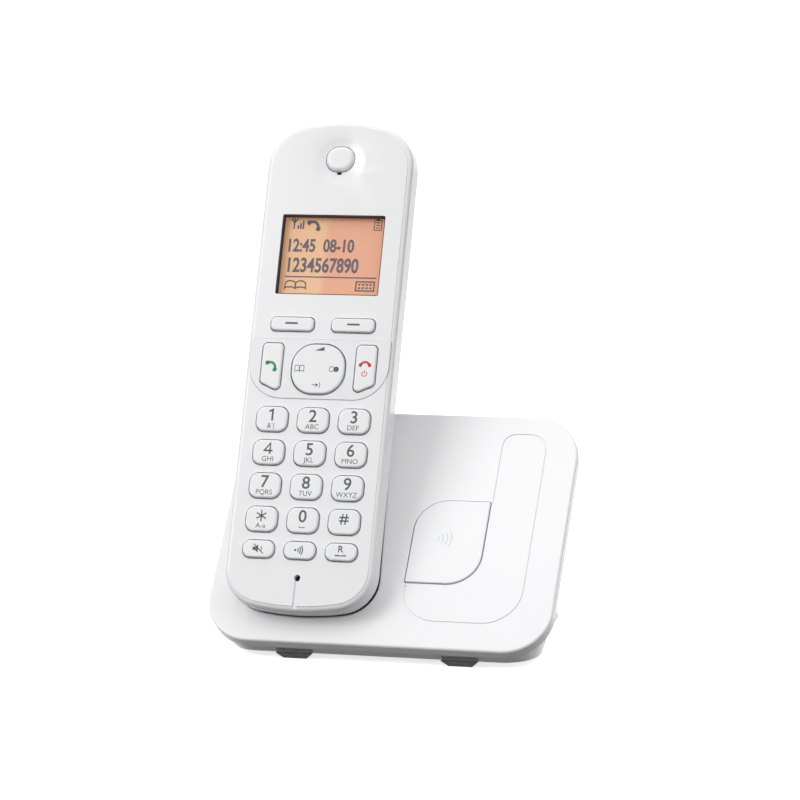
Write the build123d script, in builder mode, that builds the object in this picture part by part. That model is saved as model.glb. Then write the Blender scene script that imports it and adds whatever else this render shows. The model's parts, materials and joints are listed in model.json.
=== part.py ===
from build123d import *
import os
from math import cos, radians, sin, sqrt, tan

# Cordless telephone: a handset standing in the sloping top of its charging base.
# Millimetres. +X is right, +Y is the back and +Z is up. The origin is on the table, at the
# middle of the whole phone's plan, and the handset is modelled docked.

# ---- Handset: driving sizes ----
HANDSET_LENGTH = 162.0
HANDSET_WIDTH = 48.8
HANDSET_DEPTH = 26.0
FRONT_CASE_DEPTH = 8.0
HANDSET_WALL = 1.8
CROWN_RADIUS = 53.0            # long arc over the top end
CROWN_CORNER = 14.5
HEEL_RADIUS = 85.0             # long arc under the bottom end
HEEL_CORNER = 12.5
REAR_DRAFT = 18.0              # degrees that the rear case leans in, all round
BACK_ROUND = 5.5               # on the boat-shaped back's edge
EDGE_ROUND = 1.6               # shoulder between the face and the sides
FACE_INSET = 1.5               # the flat face stands inside the shoulder
FACE_STEP = 0.25
SEAM_CHAMFER = 0.25

# ---- Keys ----
KEY_PITCH_X = 13.6
KEY_PITCH_Y = 10.87
NUMBER_ROW_TOP = 61.6          # centre of the 1-2-3 row, from the handset's bottom end
FUNCTION_ROW = 19.3
NUMBER_KEY = (10.2, 8.0, 2.8)  # width, height, corner
FUNCTION_KEY = (10.2, 5.5, 2.4)
SOFT_KEY = (14.2, 4.4, 1.6)
SOFT_KEY_CENTRE = (10.1, 93.1)
NAV_KEY = (17.4, 16.2, 7.2)
NAV_CENTRE = 78.4
CALL_KEY_CENTRE = (15.6, 78.6)
CALL_KEY = (6.7, 16.0, 1.5)
CALL_KEY_CUT = 3.0             # how far the lower outer corner is cut up
KEY_GAP = 0.4
NAV_GAP = 0.5
KEY_PROUD = 0.9
KEY_EDGE = 0.55
KEY_FLANGE = 0.9               # flange beyond the cap, all round
KEY_FLANGE_THICK = 0.7
KEY_CLEARANCE = 0.3            # under the wall and over the mat
KEY_TRAVEL = 0.6
NAV_FLANGE_DROP = 0.5          # extra room for the tilting flange

# ---- Handset details ----
PANEL_HALF_WIDTH = 23.2
PANEL_LOW = 68.6
PANEL_HIGH = 88.3
PANEL_CORNER = 11.4
PANEL_TOP_CORNER = 0.6
PANEL_THICK = 1.0
PANEL_PROUD = 0.25
PANEL_FIT = 0.08
WINDOW_SIZE = (34.4, 26.8)
WINDOW_CENTRE = 116.6
WINDOW_CORNER = 0.6
WINDOW_MARGIN = 1.7
WINDOW_THICK = 1.0
DISPLAY_THICK = 1.5
LIGHT_GUIDE_THICK = 1.1
STACK_GAP = 0.1
EARPIECE_CENTRE = 149.0
EARPIECE_SIZE = (9.4, 8.4, 3.9)
EARPIECE_PROUD = 0.35
EARPIECE_RIM = 1.2
EARPIECE_FIT = 0.2
DISH_DIAMETER = 17.6
DISH_DEPTH = 1.0
DISH_DROP = 1.0                # the dish is centred a little below the cap
SOUND_SLOT = (1.6, 1.0)
RECEIVER_RADIUS = 9.0
RECEIVER_THICK = 4.5
RINGER_RADIUS = 10.0
RINGER_THICK = 4.0
RINGER_CENTRE = 114.0
GRILLE_SLOT = (12.0, 1.2)
GRILLE_PITCH = 2.6
GRILLE_COUNT = 5
MIC_CENTRE = 10.6
MIC_HOLE_RADIUS = 1.0
MIC_RADIUS = 3.2
MIC_GROOVE = (1.5, 0.5)        # width, depth
MAT_RISE = 1.4                 # the mat's top, over the board
MAT_THICK = 0.8
MAT_MARGIN = 1.2
PILL_RADIUS = 1.6
BOARD_THICK = 1.2
HANDSET_BOARD = (40.0, 7.0, 133.0, 6.0)   # width, low end, high end, corner
ANTENNA_SIZE = (28.0, 7.0, 0.5)
ANTENNA_CENTRE = (150.0, -15.0)

# ---- Battery bay ----
CELL_RADIUS = 5.25
CELL_LENGTH = 44.5
CELL_GAP = 0.7
CELL_NUB = (1.9, 0.8)          # radius, height
BAY_LOW = 27.5
BAY_CLEARANCE = 0.35
BAY_WALL = 1.3
TERMINAL_THICK = 0.5
TERMINAL_SIZE = (7.0, 8.0)
DOOR_LENGTH = 65.0
DOOR_LOW = 24.6
DOOR_WIDTH = 26.0
DOOR_THICK = 1.6
DOOR_GAP = 0.3
DOOR_TRAVEL = 6.0
DOOR_CORNER = 2.0
DOOR_SEAT = 1.6
GRIP_COUNT = 6
GRIP_SIZE = (14.0, 0.7, 0.35)  # width, height, depth
GRIP_PITCH = 1.7

# ---- Handset screws ----
HANDSET_SCREW_X = 9.5
HANDSET_SCREW_V = 137.0
SCREW_HEAD_RADIUS = 2.6
SCREW_HEAD_THICK = 1.6
SCREW_SHANK_RADIUS = 1.2
SCREW_FIT = 0.06
SCREW_HEAD_FIT = 0.3
BOSS_WALL = 1.6
CROSS_SLOT = (3.0, 0.6, 0.8)   # length, width, depth

# ---- Base: driving sizes ----
PLATE_WIDTH = 112.4
PLATE_LENGTH = 85.2
PLATE_CORNER = 15.0
PLATE_TILT = 48.0
PLATE_FRONT_HEIGHT = 7.0
COVER_DEPTH = 4.0
COVER_WALL = 2.0
COVER_EDGE_ROUND = 0.8
CASE_INSET = 0.5
CASE_WALL = 1.8
CASE_BOTTOM = 2.0              # height of the case's underside above the table
CASE_SIDE_DRAFT = 19.5
CASE_REAR_LEAN = 17.4          # the rear wall, from upright
CASE_REACH = 70.0
CASE_CORNER_END = 9.0

# ---- Docking ----
HANDSET_TILT = 65.0
DOCK_X = -24.45                # the handset's middle, left of the base's middle
DOCK_SETBACK = 6.7             # the handset's foot, up the plate from its front edge
DOCK_RISE = 8.3                # and how far its face stands off the plate there
POCKET_GAP = 0.6
POCKET_WALL = 1.8
MOUTH_ROUND = 0.7

# ---- Locator button, outline groove and inside of the base ----
LEAF_LOW = (7.1, 23.1)         # its sharp lower left corner, on the plate
LEAF_SIZE = (23.4, 29.9)
LEAF_ROUND = 10.5
LEAF_POINT_ROUND = 0.4
LEAF_GAP = 0.35
LEAF_PROUD = 0.5
LEAF_EDGE = 0.35
LEAF_TRAVEL = 0.8
LEAF_FLANGE = 0.9
LEAF_FLANGE_THICK = 0.8
LEAF_STEM_RADIUS = 2.6
LEAF_STEM_LENGTH = 0.7
GROOVE_BOX = (7.2, 9.2, 46.2, 78.7)       # left, low, right, high
GROOVE_NECK = 31.0                        # left side of the tall part
GROOVE_CORNERS = (11.0, 13.0, 6.5, 4.5)   # low left, low right, high right, high left
GROOVE_WIDTH = 0.7
GROOVE_DEPTH = 0.35
BUTTON_BOARD = (30.0, 40.0, 1.4)
BUTTON_BOARD_CENTRE = (20.2, 38.0)
BUTTON_POST_RADIUS = 1.5
BUTTON_POST_INSET = 2.2
SWITCH_SIZE = (6.0, 3.1)
SWITCH_PLUNGER = (1.6, 1.0)
BASE_BOARD = (-16.0, 28.0, 33.0, 73.5)    # left, right, front, back
BASE_BOARD_THICK = 1.6
BASE_BOARD_LIFT = 1.4
STANDOFF_RADIUS = 2.5
JACK_FACE = 75.0               # rear faces of both jacks, behind the plate's front edge
LINE_JACK = (14.0, 14.5, 12.8)            # width, depth, height
LINE_JACK_X = -7.0
LINE_SOCKET = (9.8, 12.0, 6.8)
LINE_LATCH = (4.4, 2.2)
POWER_JACK = (10.0, 13.0, 11.0)
POWER_JACK_X = 16.0
POWER_SOCKET_RADIUS = 3.1
POWER_SOCKET_DEPTH = 9.5
POWER_PIN_RADIUS = 0.95
JACK_GAP = 0.4
CONTACT_SPACING = 18.0
CONTACT_DEPTH = 13.3           # behind the handset's face
CONTACT_PIN = (2.2, 1.8)
CONTACT_TIP = 2.2
CONTACT_LENGTH = 8.2
CONTACT_COLLAR = (3.8, 3.2, 0.8)
CONTACT_COLLAR_TOP = -2.9
CONTACT_GAP = 0.4
CHARGE_PLATE = (5.0, 3.4, 0.6)
CHARGE_PLATE_LOW = 2.5
HOLDER_SIZE = (26.0, 6.4, 3.6)
HOLDER_TOP = -2.6
BASE_SCREWS = [(42.0, 15.0), (-24.0, 46.0)]   # x, and y behind the plate's front edge
BASE_SCREW_PAD = (5.0, 2.2)    # radius, height above the case's floor
BASE_SCREW_LENGTH = 9.0

# ---- Feet ----
FRONT_FEET = (27.0, 9.5)       # half spacing, and centre behind the plate's front edge
REAR_FEET = (39.3, 60.0)
FOOT_TOP = (12.0, 9.0)
FOOT_SOLE = (7.6, 6.0)
LUG_HEIGHT = 1.8               # the rear feet hang on lugs at the case's sides
LUG_ROUND = 1.0

# ---- Places worked out from the sizes ----
CROWN_RISE = CROWN_RADIUS - sqrt(CROWN_RADIUS**2 - (HANDSET_WIDTH / 2) ** 2)
HEEL_RISE = HEEL_RADIUS - sqrt(HEEL_RADIUS**2 - (HANDSET_WIDTH / 2) ** 2)
PLATE_COS, PLATE_SIN = cos(radians(PLATE_TILT)), sin(radians(PLATE_TILT))
HANDSET_COS, HANDSET_SIN = cos(radians(HANDSET_TILT)), sin(radians(HANDSET_TILT))

# Foremost and rearmost points, measured from the plate's front top edge.
FACE_EDGE = FACE_STEP * 0.6       # round on the raised face's edge
HANDSET_FOOT_Y = DOCK_SETBACK * PLATE_COS - DOCK_RISE * PLATE_SIN
FRONT_REACH = min(
    COVER_EDGE_ROUND * (PLATE_COS + PLATE_SIN - 1),
    HANDSET_FOOT_Y + (FACE_INSET + FACE_EDGE) * HANDSET_COS + FACE_EDGE * (HANDSET_SIN - 1),
)
REAR_CASE_DEPTH = HANDSET_DEPTH - FRONT_CASE_DEPTH
BACK_ROUND_CENTRE = (
    HANDSET_LENGTH
    - (REAR_CASE_DEPTH - BACK_ROUND) * tan(radians(REAR_DRAFT))
    - BACK_ROUND / cos(radians(REAR_DRAFT))
)
HANDSET_REACH = (
    HANDSET_FOOT_Y
    + BACK_ROUND_CENTRE * HANDSET_COS
    + (HANDSET_DEPTH - BACK_ROUND) * HANDSET_SIN
    + BACK_ROUND
)
EDGE_Y = -(FRONT_REACH + HANDSET_REACH) / 2

PLATE = Plane(
    origin=(0, EDGE_Y, PLATE_FRONT_HEIGHT), x_dir=(1, 0, 0), z_dir=(0, -PLATE_SIN, PLATE_COS)
)
HANDSET = Plane(
    origin=PLATE.from_local_coords((DOCK_X, DOCK_SETBACK, DOCK_RISE)),
    x_dir=(1, 0, 0),
    z_dir=(0, -HANDSET_SIN, HANDSET_COS),
)
OUTWARD = Axis(HANDSET.origin, HANDSET.z_dir)
LENGTHWISE = Axis(HANDSET.origin, HANDSET.y_dir)
OFF_PLATE = Axis(PLATE.origin, PLATE.z_dir)

WALL_BACK = -HANDSET_WALL
FLANGE_FRONT = WALL_BACK - KEY_CLEARANCE
WINDOW_FRONT = WALL_BACK - STACK_GAP
DISPLAY_FRONT = WINDOW_FRONT - WINDOW_THICK - STACK_GAP
GUIDE_FRONT = DISPLAY_FRONT - DISPLAY_THICK - STACK_GAP
BOARD_FRONT = GUIDE_FRONT - LIGHT_GUIDE_THICK - STACK_GAP
MAT_TOP = BOARD_FRONT + MAT_RISE
STEM_END = MAT_TOP + KEY_TRAVEL + KEY_CLEARANCE + STACK_GAP
DISPLAY_SIZE = (WINDOW_SIZE[0] + 2 * WINDOW_MARGIN, WINDOW_SIZE[1] + 2 * WINDOW_MARGIN)
DOOR_FLOOR = -HANDSET_DEPTH + DOOR_THICK + DOOR_GAP
CELL_DEPTH = DOOR_FLOOR + BAY_CLEARANCE + CELL_RADIUS + DOOR_SEAT
BAY_FLOOR = CELL_DEPTH + CELL_RADIUS + BAY_CLEARANCE
BAY_WIDTH = 4 * CELL_RADIUS + CELL_GAP + 2 * BAY_CLEARANCE
BAY_LENGTH = CELL_LENGTH + CELL_NUB[1] + 2 * (TERMINAL_THICK + BAY_CLEARANCE) + 2.4
CELL_LOW = BAY_LOW + TERMINAL_THICK + BAY_CLEARANCE + 1.2
DOOR_CENTRE = DOOR_LOW + DOOR_LENGTH / 2
LEAF_CENTRE = (LEAF_LOW[0] + LEAF_SIZE[0] / 2, LEAF_LOW[1] + LEAF_SIZE[1] / 2)
CASE_FLOOR = CASE_BOTTOM + CASE_WALL
BOARD_LOW = CASE_FLOOR + BASE_BOARD_LIFT
BOARD_TOP = BOARD_LOW + BASE_BOARD_THICK
BUTTON_BOARD_TOP = -(
    COVER_WALL + KEY_CLEARANCE + LEAF_FLANGE_THICK + LEAF_STEM_LENGTH + LEAF_TRAVEL
    + KEY_CLEARANCE + SWITCH_SIZE[1] + SWITCH_PLUNGER[1]
)

# Every key: its shape, and its centre on the face.
KEYS = {
    "talk_key": ("call", -CALL_KEY_CENTRE[0], CALL_KEY_CENTRE[1]),
    "off_key": ("call", CALL_KEY_CENTRE[0], CALL_KEY_CENTRE[1]),
    "nav_key": ("nav", 0, NAV_CENTRE),
    "soft_key_left": ("soft", -SOFT_KEY_CENTRE[0], SOFT_KEY_CENTRE[1]),
    "soft_key_right": ("soft", SOFT_KEY_CENTRE[0], SOFT_KEY_CENTRE[1]),
}
for row, names in enumerate(["1 2 3", "4 5 6", "7 8 9", "star 0 hash"]):
    for column, word in enumerate(names.split()):
        KEYS[f"key_{word}"] = (
            "number", (column - 1) * KEY_PITCH_X, NUMBER_ROW_TOP - row * KEY_PITCH_Y
        )
for column, word in enumerate(["mute", "intercom", "recall"]):
    KEYS[f"key_{word}"] = ("function", (column - 1) * KEY_PITCH_X, FUNCTION_ROW)
ROUNDED_KEYS = {"number": NUMBER_KEY, "function": FUNCTION_KEY, "soft": SOFT_KEY, "nav": NAV_KEY}


def across_handset(v):
    """A plane square to the handset's length; its y runs from the face towards the back."""
    return Plane(
        origin=HANDSET.from_local_coords((0, v, 0)), x_dir=(1, 0, 0), z_dir=HANDSET.y_dir
    )


def level(height):
    """A level plane whose y is measured from the plate's front top edge."""
    return Plane(origin=(0, EDGE_Y, height))


def handset_outline(grow=0.0):
    """The handset's outline, larger by grow."""
    half = HANDSET_WIDTH / 2 + grow
    low, high = -grow, HANDSET_LENGTH + grow
    with BuildSketch() as outline:
        with BuildLine():
            Line((-half, low + HEEL_RISE), (-half, high - CROWN_RISE))
            ThreePointArc((-half, high - CROWN_RISE), (0, high), (half, high - CROWN_RISE))
            Line((half, high - CROWN_RISE), (half, low + HEEL_RISE))
            ThreePointArc((half, low + HEEL_RISE), (0, low), (-half, low + HEEL_RISE))
        make_face()
        fillet(vertices().group_by(Axis.Y)[-1], CROWN_CORNER + grow)
        fillet(vertices().group_by(Axis.Y)[0], HEEL_CORNER + grow)
    return outline.sketch


def handset_form(grow, front):
    """The handset's outer form, grown all round, from its back out to front before the face."""
    with BuildPart() as form:
        with BuildSketch(HANDSET.offset(-FRONT_CASE_DEPTH)):
            add(handset_outline(grow))
        extrude(amount=-REAR_CASE_DEPTH - grow, taper=REAR_DRAFT)
        fillet(faces().sort_by(OUTWARD)[0].edges(), BACK_ROUND + grow)
        if front > -FRONT_CASE_DEPTH:
            with BuildSketch(HANDSET.offset(-FRONT_CASE_DEPTH)):
                add(handset_outline(grow))
            extrude(amount=FRONT_CASE_DEPTH + front)
    return form.part


def key_outline(shape, x, y, grow=0.0):
    """One key's outline on the face, larger by grow."""
    with BuildSketch() as outline:
        if shape in ROUNDED_KEYS:
            width, height, corner = ROUNDED_KEYS[shape]
            with Locations((x, y)):
                RectangleRounded(width + 2 * grow, height + 2 * grow, corner + grow)
        else:
            width, height, corner = CALL_KEY
            side = 1 if x > 0 else -1
            inner, outer = x - side * width / 2, x + side * width / 2
            top, bottom = y + height / 2, y - height / 2
            with BuildLine():
                Polyline(
                    (inner, bottom), (inner, top), (outer, top), (outer, bottom + CALL_KEY_CUT),
                    close=True,
                )
            make_face()
            fillet(vertices(), corner)
            if grow:
                offset(amount=grow)
    return outline.sketch


def key_gap(shape):
    """Clearance round a key in its opening; the tilting key needs more."""
    return NAV_GAP if shape == "nav" else KEY_GAP


def panel_outline(grow=0.0):
    """The U-shaped control panel's outline, larger by grow."""
    with BuildSketch() as outline:
        with Locations((0, (PANEL_LOW + PANEL_HIGH) / 2)):
            Rectangle(2 * (PANEL_HALF_WIDTH + grow), PANEL_HIGH - PANEL_LOW + 2 * grow)
        fillet(vertices().group_by(Axis.Y)[-1], PANEL_TOP_CORNER + grow)
        fillet(vertices().group_by(Axis.Y)[0], PANEL_CORNER + grow)
    return outline.sketch


def plate_outline(grow=0.0):
    """The outline of the base's sloping top, larger by grow."""
    with BuildSketch() as outline:
        with Locations((0, PLATE_LENGTH / 2)):
            RectangleRounded(PLATE_WIDTH + 2 * grow, PLATE_LENGTH + 2 * grow, PLATE_CORNER + grow)
    return outline.sketch


def leaf_outline(grow=0.0):
    """The locator button's outline: two sharp corners and two round ones, across from each other."""
    width, height = LEAF_SIZE[0] + 2 * grow, LEAF_SIZE[1] + 2 * grow
    with BuildSketch() as outline:
        with Locations(LEAF_CENTRE):
            Rectangle(width, height)
        round_corners = [
            (LEAF_CENTRE[0] + width / 2, LEAF_CENTRE[1] - height / 2, 0),
            (LEAF_CENTRE[0] - width / 2, LEAF_CENTRE[1] + height / 2, 0),
        ]
        for corner in round_corners:
            fillet(vertices().sort_by_distance(corner)[0], LEAF_ROUND + grow)
        fillet(vertices().sort_by_distance(Vector(*LEAF_CENTRE))[-2:], LEAF_POINT_ROUND + grow)
    return outline.sketch


def groove_outline(inset=0.0):
    """The J-shaped outline that starts and ends at the locator button, drawn in by inset."""
    left, low, right, high = GROOVE_BOX
    neck, shoulder = GROOVE_NECK, LEAF_LOW[1]
    with BuildSketch() as outline:
        with BuildLine():
            Polyline(
                (left, shoulder), (left, low), (right, low), (right, high), (neck, high),
                (neck, shoulder), close=True,
            )
        make_face()
        corners = [(left, low, 0), (right, low, 0), (right, high, 0), (neck, high, 0)]
        for corner, radius in zip(corners, GROOVE_CORNERS):
            fillet(vertices().sort_by_distance(corner)[0], radius)
        if inset:
            offset(amount=-inset, mode=Mode.REPLACE)
    return outline.sketch


def pocket_tub():
    """The wall round the docking pocket, kept below the plate's skin."""
    with BuildPart() as tub:
        add(handset_form(POCKET_GAP + POCKET_WALL, HANDSET_DEPTH))
        split(bisect_by=PLATE.offset(-COVER_WALL / 2), keep=Keep.BOTTOM)
    return tub.part


def screw_boss(x, y, radius):
    """An upright post from the case's screw pad to the plate's skin."""
    with BuildPart() as boss:
        with BuildSketch(level(CASE_FLOOR + BASE_SCREW_PAD[1])):
            with Locations((x, y)):
                Circle(radius)
        extrude(amount=PLATE_LENGTH)
        split(bisect_by=PLATE.offset(-COVER_WALL / 2), keep=Keep.BOTTOM)
    return boss.part


def case_form(inset, bottom):
    """The bottom case's tapering form, drawn in by inset and cut level at bottom."""
    drop = CASE_REACH - COVER_DEPTH
    narrow = drop * tan(radians(CASE_SIDE_DRAFT))
    short = drop * tan(radians(PLATE_TILT - CASE_REAR_LEAN))
    width = PLATE_WIDTH - 2 * (CASE_INSET + inset)
    length = PLATE_LENGTH - 2 * (CASE_INSET + inset)
    front = CASE_INSET + inset
    with BuildPart() as form:
        with BuildSketch(PLATE.offset(-COVER_DEPTH)):
            with Locations((0, front + length / 2)):
                RectangleRounded(width, length, PLATE_CORNER - CASE_INSET - inset)
        with BuildSketch(PLATE.offset(-CASE_REACH)):
            with Locations((0, front + (length - short) / 2)):
                RectangleRounded(width - 2 * narrow, length - short, CASE_CORNER_END - inset)
        loft(ruled=True)
        split(bisect_by=Plane.XY.offset(bottom), keep=Keep.TOP)
    return form.part


def finish(part, name):
    """Name a piece and write it to its own file."""
    part.label = name
    export_step(part, f"parts/{name}.step")


os.makedirs("parts", exist_ok=True)

# ---- Handset front case: the face, its openings and the screw bosses ----
with BuildPart() as handset_front_case:
    with BuildSketch(HANDSET.offset(-FRONT_CASE_DEPTH)):
        add(handset_outline())
    extrude(amount=FRONT_CASE_DEPTH - FACE_STEP)
    fillet(faces().sort_by(OUTWARD)[-1].edges(), EDGE_ROUND)
    chamfer(faces().sort_by(OUTWARD)[0].edges(), SEAM_CHAMFER)
    with BuildSketch(HANDSET.offset(-HANDSET_WALL)):
        add(handset_outline(-FACE_INSET))
    extrude(amount=HANDSET_WALL)
    fillet(faces().sort_by(OUTWARD)[-1].edges(), FACE_EDGE)
    with BuildSketch(HANDSET.offset(-FRONT_CASE_DEPTH)):
        add(handset_outline(-HANDSET_WALL))
    extrude(amount=FRONT_CASE_DEPTH - HANDSET_WALL, mode=Mode.SUBTRACT)
    with BuildSketch(HANDSET.offset(-HANDSET_WALL)):
        with Locations((0, WINDOW_CENTRE)):
            RectangleRounded(*WINDOW_SIZE, WINDOW_CORNER)
    extrude(amount=HANDSET_WALL, mode=Mode.SUBTRACT)
    with BuildSketch(HANDSET.offset(-PANEL_THICK)):
        add(panel_outline(PANEL_FIT))
    extrude(amount=PANEL_THICK, mode=Mode.SUBTRACT)
    for shape, x, y in KEYS.values():
        with BuildSketch(HANDSET.offset(-HANDSET_WALL)):
            add(key_outline(shape, x, y, key_gap(shape)))
        extrude(amount=HANDSET_WALL, mode=Mode.SUBTRACT)
    # Shallow round dish with the earpiece hole and its sound slot
    dish_radius = ((DISH_DIAMETER / 2) ** 2 + DISH_DEPTH**2) / (2 * DISH_DEPTH)
    with Locations(HANDSET * Pos(0, EARPIECE_CENTRE - DISH_DROP, dish_radius - DISH_DEPTH)):
        Sphere(dish_radius, mode=Mode.SUBTRACT)
    with BuildSketch(HANDSET.offset(-HANDSET_WALL)):
        with Locations((0, EARPIECE_CENTRE)):
            RectangleRounded(
                EARPIECE_SIZE[0] + 2 * EARPIECE_FIT,
                EARPIECE_SIZE[1] + 2 * EARPIECE_FIT,
                EARPIECE_SIZE[2] + EARPIECE_FIT,
            )
        with Locations((0, EARPIECE_CENTRE - EARPIECE_SIZE[1] / 2 - SOUND_SLOT[1] / 2)):
            Rectangle(*SOUND_SLOT)
    extrude(amount=HANDSET_WALL, mode=Mode.SUBTRACT)
    # Microphone hole, and the groove from it to the bottom end
    with BuildSketch(HANDSET.offset(-HANDSET_WALL)):
        with Locations((0, MIC_CENTRE)):
            Circle(MIC_HOLE_RADIUS)
    extrude(amount=HANDSET_WALL, mode=Mode.SUBTRACT)
    with BuildSketch(HANDSET.offset(-MIC_GROOVE[1])):
        with Locations((0, MIC_CENTRE / 2)):
            Rectangle(MIC_GROOVE[0], MIC_CENTRE)
    extrude(amount=MIC_GROOVE[1], mode=Mode.SUBTRACT)
    # Screw bosses
    with BuildSketch(HANDSET.offset(-FRONT_CASE_DEPTH)):
        with Locations((-HANDSET_SCREW_X, HANDSET_SCREW_V), (HANDSET_SCREW_X, HANDSET_SCREW_V)):
            Circle(SCREW_SHANK_RADIUS + BOSS_WALL)
    extrude(amount=FRONT_CASE_DEPTH - HANDSET_WALL / 2)
    with BuildSketch(HANDSET.offset(-FRONT_CASE_DEPTH)):
        with Locations((-HANDSET_SCREW_X, HANDSET_SCREW_V), (HANDSET_SCREW_X, HANDSET_SCREW_V)):
            Circle(SCREW_SHANK_RADIUS + SCREW_FIT)
    extrude(amount=FRONT_CASE_DEPTH - HANDSET_WALL, mode=Mode.SUBTRACT)
finish(handset_front_case.part, "handset_front_case")

# ---- Handset rear case: boat-shaped back, battery bay, door seat, speaker grille ----
bay_middle = BAY_LOW + BAY_LENGTH / 2
with BuildPart() as handset_rear_case:
    add(handset_form(0, -FRONT_CASE_DEPTH))
    chamfer(faces().sort_by(OUTWARD)[-1].edges(), SEAM_CHAMFER)
    add(handset_form(-HANDSET_WALL, 0), mode=Mode.SUBTRACT)
    # Thickened seat for the door, and the walls of the battery bay
    with BuildSketch(HANDSET.offset(-HANDSET_DEPTH + HANDSET_WALL / 2)):
        with Locations((0, DOOR_CENTRE - DOOR_TRAVEL / 2)):
            Rectangle(
                DOOR_WIDTH + 2 * DOOR_GAP + DOOR_SEAT, DOOR_LENGTH + DOOR_TRAVEL + 2 * DOOR_SEAT
            )
    extrude(amount=DOOR_FLOOR + DOOR_SEAT + HANDSET_DEPTH - HANDSET_WALL / 2)
    with BuildSketch(HANDSET.offset(-HANDSET_DEPTH + HANDSET_WALL)):
        with Locations((0, bay_middle)):
            Rectangle(BAY_WIDTH + 2 * BAY_WALL, BAY_LENGTH + 2 * BAY_WALL)
    extrude(amount=BAY_FLOOR + BAY_WALL + HANDSET_DEPTH - HANDSET_WALL)
    with BuildSketch(HANDSET.offset(-HANDSET_DEPTH)):
        with Locations((0, bay_middle)):
            Rectangle(BAY_WIDTH, BAY_LENGTH)
    extrude(amount=BAY_FLOOR + HANDSET_DEPTH, mode=Mode.SUBTRACT)
    with BuildSketch(HANDSET.offset(-HANDSET_DEPTH)):
        with Locations((0, DOOR_CENTRE - DOOR_TRAVEL / 2)):
            RectangleRounded(
                DOOR_WIDTH + 2 * DOOR_GAP,
                DOOR_LENGTH + DOOR_TRAVEL + 2 * DOOR_GAP,
                DOOR_CORNER + DOOR_GAP,
            )
    extrude(amount=DOOR_THICK + DOOR_GAP, mode=Mode.SUBTRACT)
    # Slots in front of the ringer speaker
    with BuildSketch(HANDSET.offset(-HANDSET_DEPTH)):
        with Locations((0, RINGER_CENTRE)):
            with GridLocations(0, GRILLE_PITCH, 1, GRILLE_COUNT):
                SlotOverall(*GRILLE_SLOT)
    extrude(amount=HANDSET_WALL, mode=Mode.SUBTRACT)
    # Recessed screw holes on posts
    screw_plane = HANDSET.offset(-HANDSET_DEPTH)
    for side in (-1, 1):
        with BuildSketch(screw_plane):
            with Locations((side * HANDSET_SCREW_X, HANDSET_SCREW_V)):
                Circle(SCREW_HEAD_RADIUS + SCREW_HEAD_FIT + BOSS_WALL)
        extrude(amount=2 * SCREW_HEAD_THICK + HANDSET_WALL)
        with BuildSketch(screw_plane):
            with Locations((side * HANDSET_SCREW_X, HANDSET_SCREW_V)):
                Circle(SCREW_HEAD_RADIUS + SCREW_HEAD_FIT)
        extrude(amount=2 * SCREW_HEAD_THICK, mode=Mode.SUBTRACT)
        with BuildSketch(screw_plane):
            with Locations((side * HANDSET_SCREW_X, HANDSET_SCREW_V)):
                Circle(SCREW_SHANK_RADIUS + SCREW_FIT)
        extrude(amount=2 * SCREW_HEAD_THICK + HANDSET_WALL, mode=Mode.SUBTRACT)
    # Slots for the two charging plates in the bottom end
    with BuildSketch(across_handset(-HANDSET_WALL)):
        with Locations((0, CONTACT_DEPTH)):
            with GridLocations(CONTACT_SPACING, 0, 2, 1):
                Rectangle(CHARGE_PLATE[0], CHARGE_PLATE[1])
    extrude(amount=4 * HANDSET_WALL, mode=Mode.SUBTRACT)
finish(handset_rear_case.part, "handset_rear_case")

# ---- Control panel: the raised U-shaped surround of the call and navigation keys ----
with BuildPart() as control_panel:
    with BuildSketch(HANDSET.offset(-PANEL_THICK)):
        add(panel_outline())
    extrude(amount=PANEL_THICK + PANEL_PROUD)
    fillet(faces().sort_by(OUTWARD)[-1].edges(), PANEL_PROUD * 0.9)
    for shape, x, y in KEYS.values():
        if shape in ("call", "nav"):
            with BuildSketch(HANDSET.offset(-PANEL_THICK)):
                add(key_outline(shape, x, y, key_gap(shape)))
            extrude(amount=PANEL_THICK + PANEL_PROUD, mode=Mode.SUBTRACT)
finish(control_panel.part, "control_panel")

# ---- Keys: cap, retaining flange and stem over the rubber mat ----
for name, (shape, x, y) in KEYS.items():
    flange_front = FLANGE_FRONT - (NAV_FLANGE_DROP if shape == "nav" else 0)
    flange_back = flange_front - KEY_FLANGE_THICK
    with BuildPart() as key:
        with BuildSketch(HANDSET.offset(flange_front)):
            add(key_outline(shape, x, y))
        extrude(amount=KEY_PROUD - flange_front)
        fillet(faces().sort_by(OUTWARD)[-1].edges(), KEY_EDGE)
        with BuildSketch(HANDSET.offset(flange_back)):
            add(key_outline(shape, x, y, KEY_FLANGE))
        extrude(amount=KEY_FLANGE_THICK)
        with BuildSketch(HANDSET.offset(STEM_END)):
            with Locations((x, y)):
                Circle(PILL_RADIUS)
        extrude(amount=flange_back - STEM_END)
    finish(key.part, name)

# ---- Keypad mat with a contact pill under each key ----
mat_low = FUNCTION_ROW - FUNCTION_KEY[1] / 2 - KEY_FLANGE - MAT_MARGIN
mat_high = SOFT_KEY_CENTRE[1] + SOFT_KEY[1] / 2 + KEY_FLANGE + MAT_MARGIN
with BuildPart() as keypad_mat:
    with BuildSketch(HANDSET.offset(MAT_TOP - MAT_THICK)):
        with Locations((0, (mat_low + mat_high) / 2)):
            RectangleRounded(HANDSET_BOARD[0], mat_high - mat_low, MAT_MARGIN)
    extrude(amount=MAT_THICK)
    with BuildSketch(HANDSET.offset(BOARD_FRONT + STACK_GAP)):
        with Locations(*[(x, y) for shape, x, y in KEYS.values()]):
            Circle(PILL_RADIUS)
    extrude(amount=MAT_TOP - MAT_THICK - BOARD_FRONT - STACK_GAP)
finish(keypad_mat.part, "keypad_mat")

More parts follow.
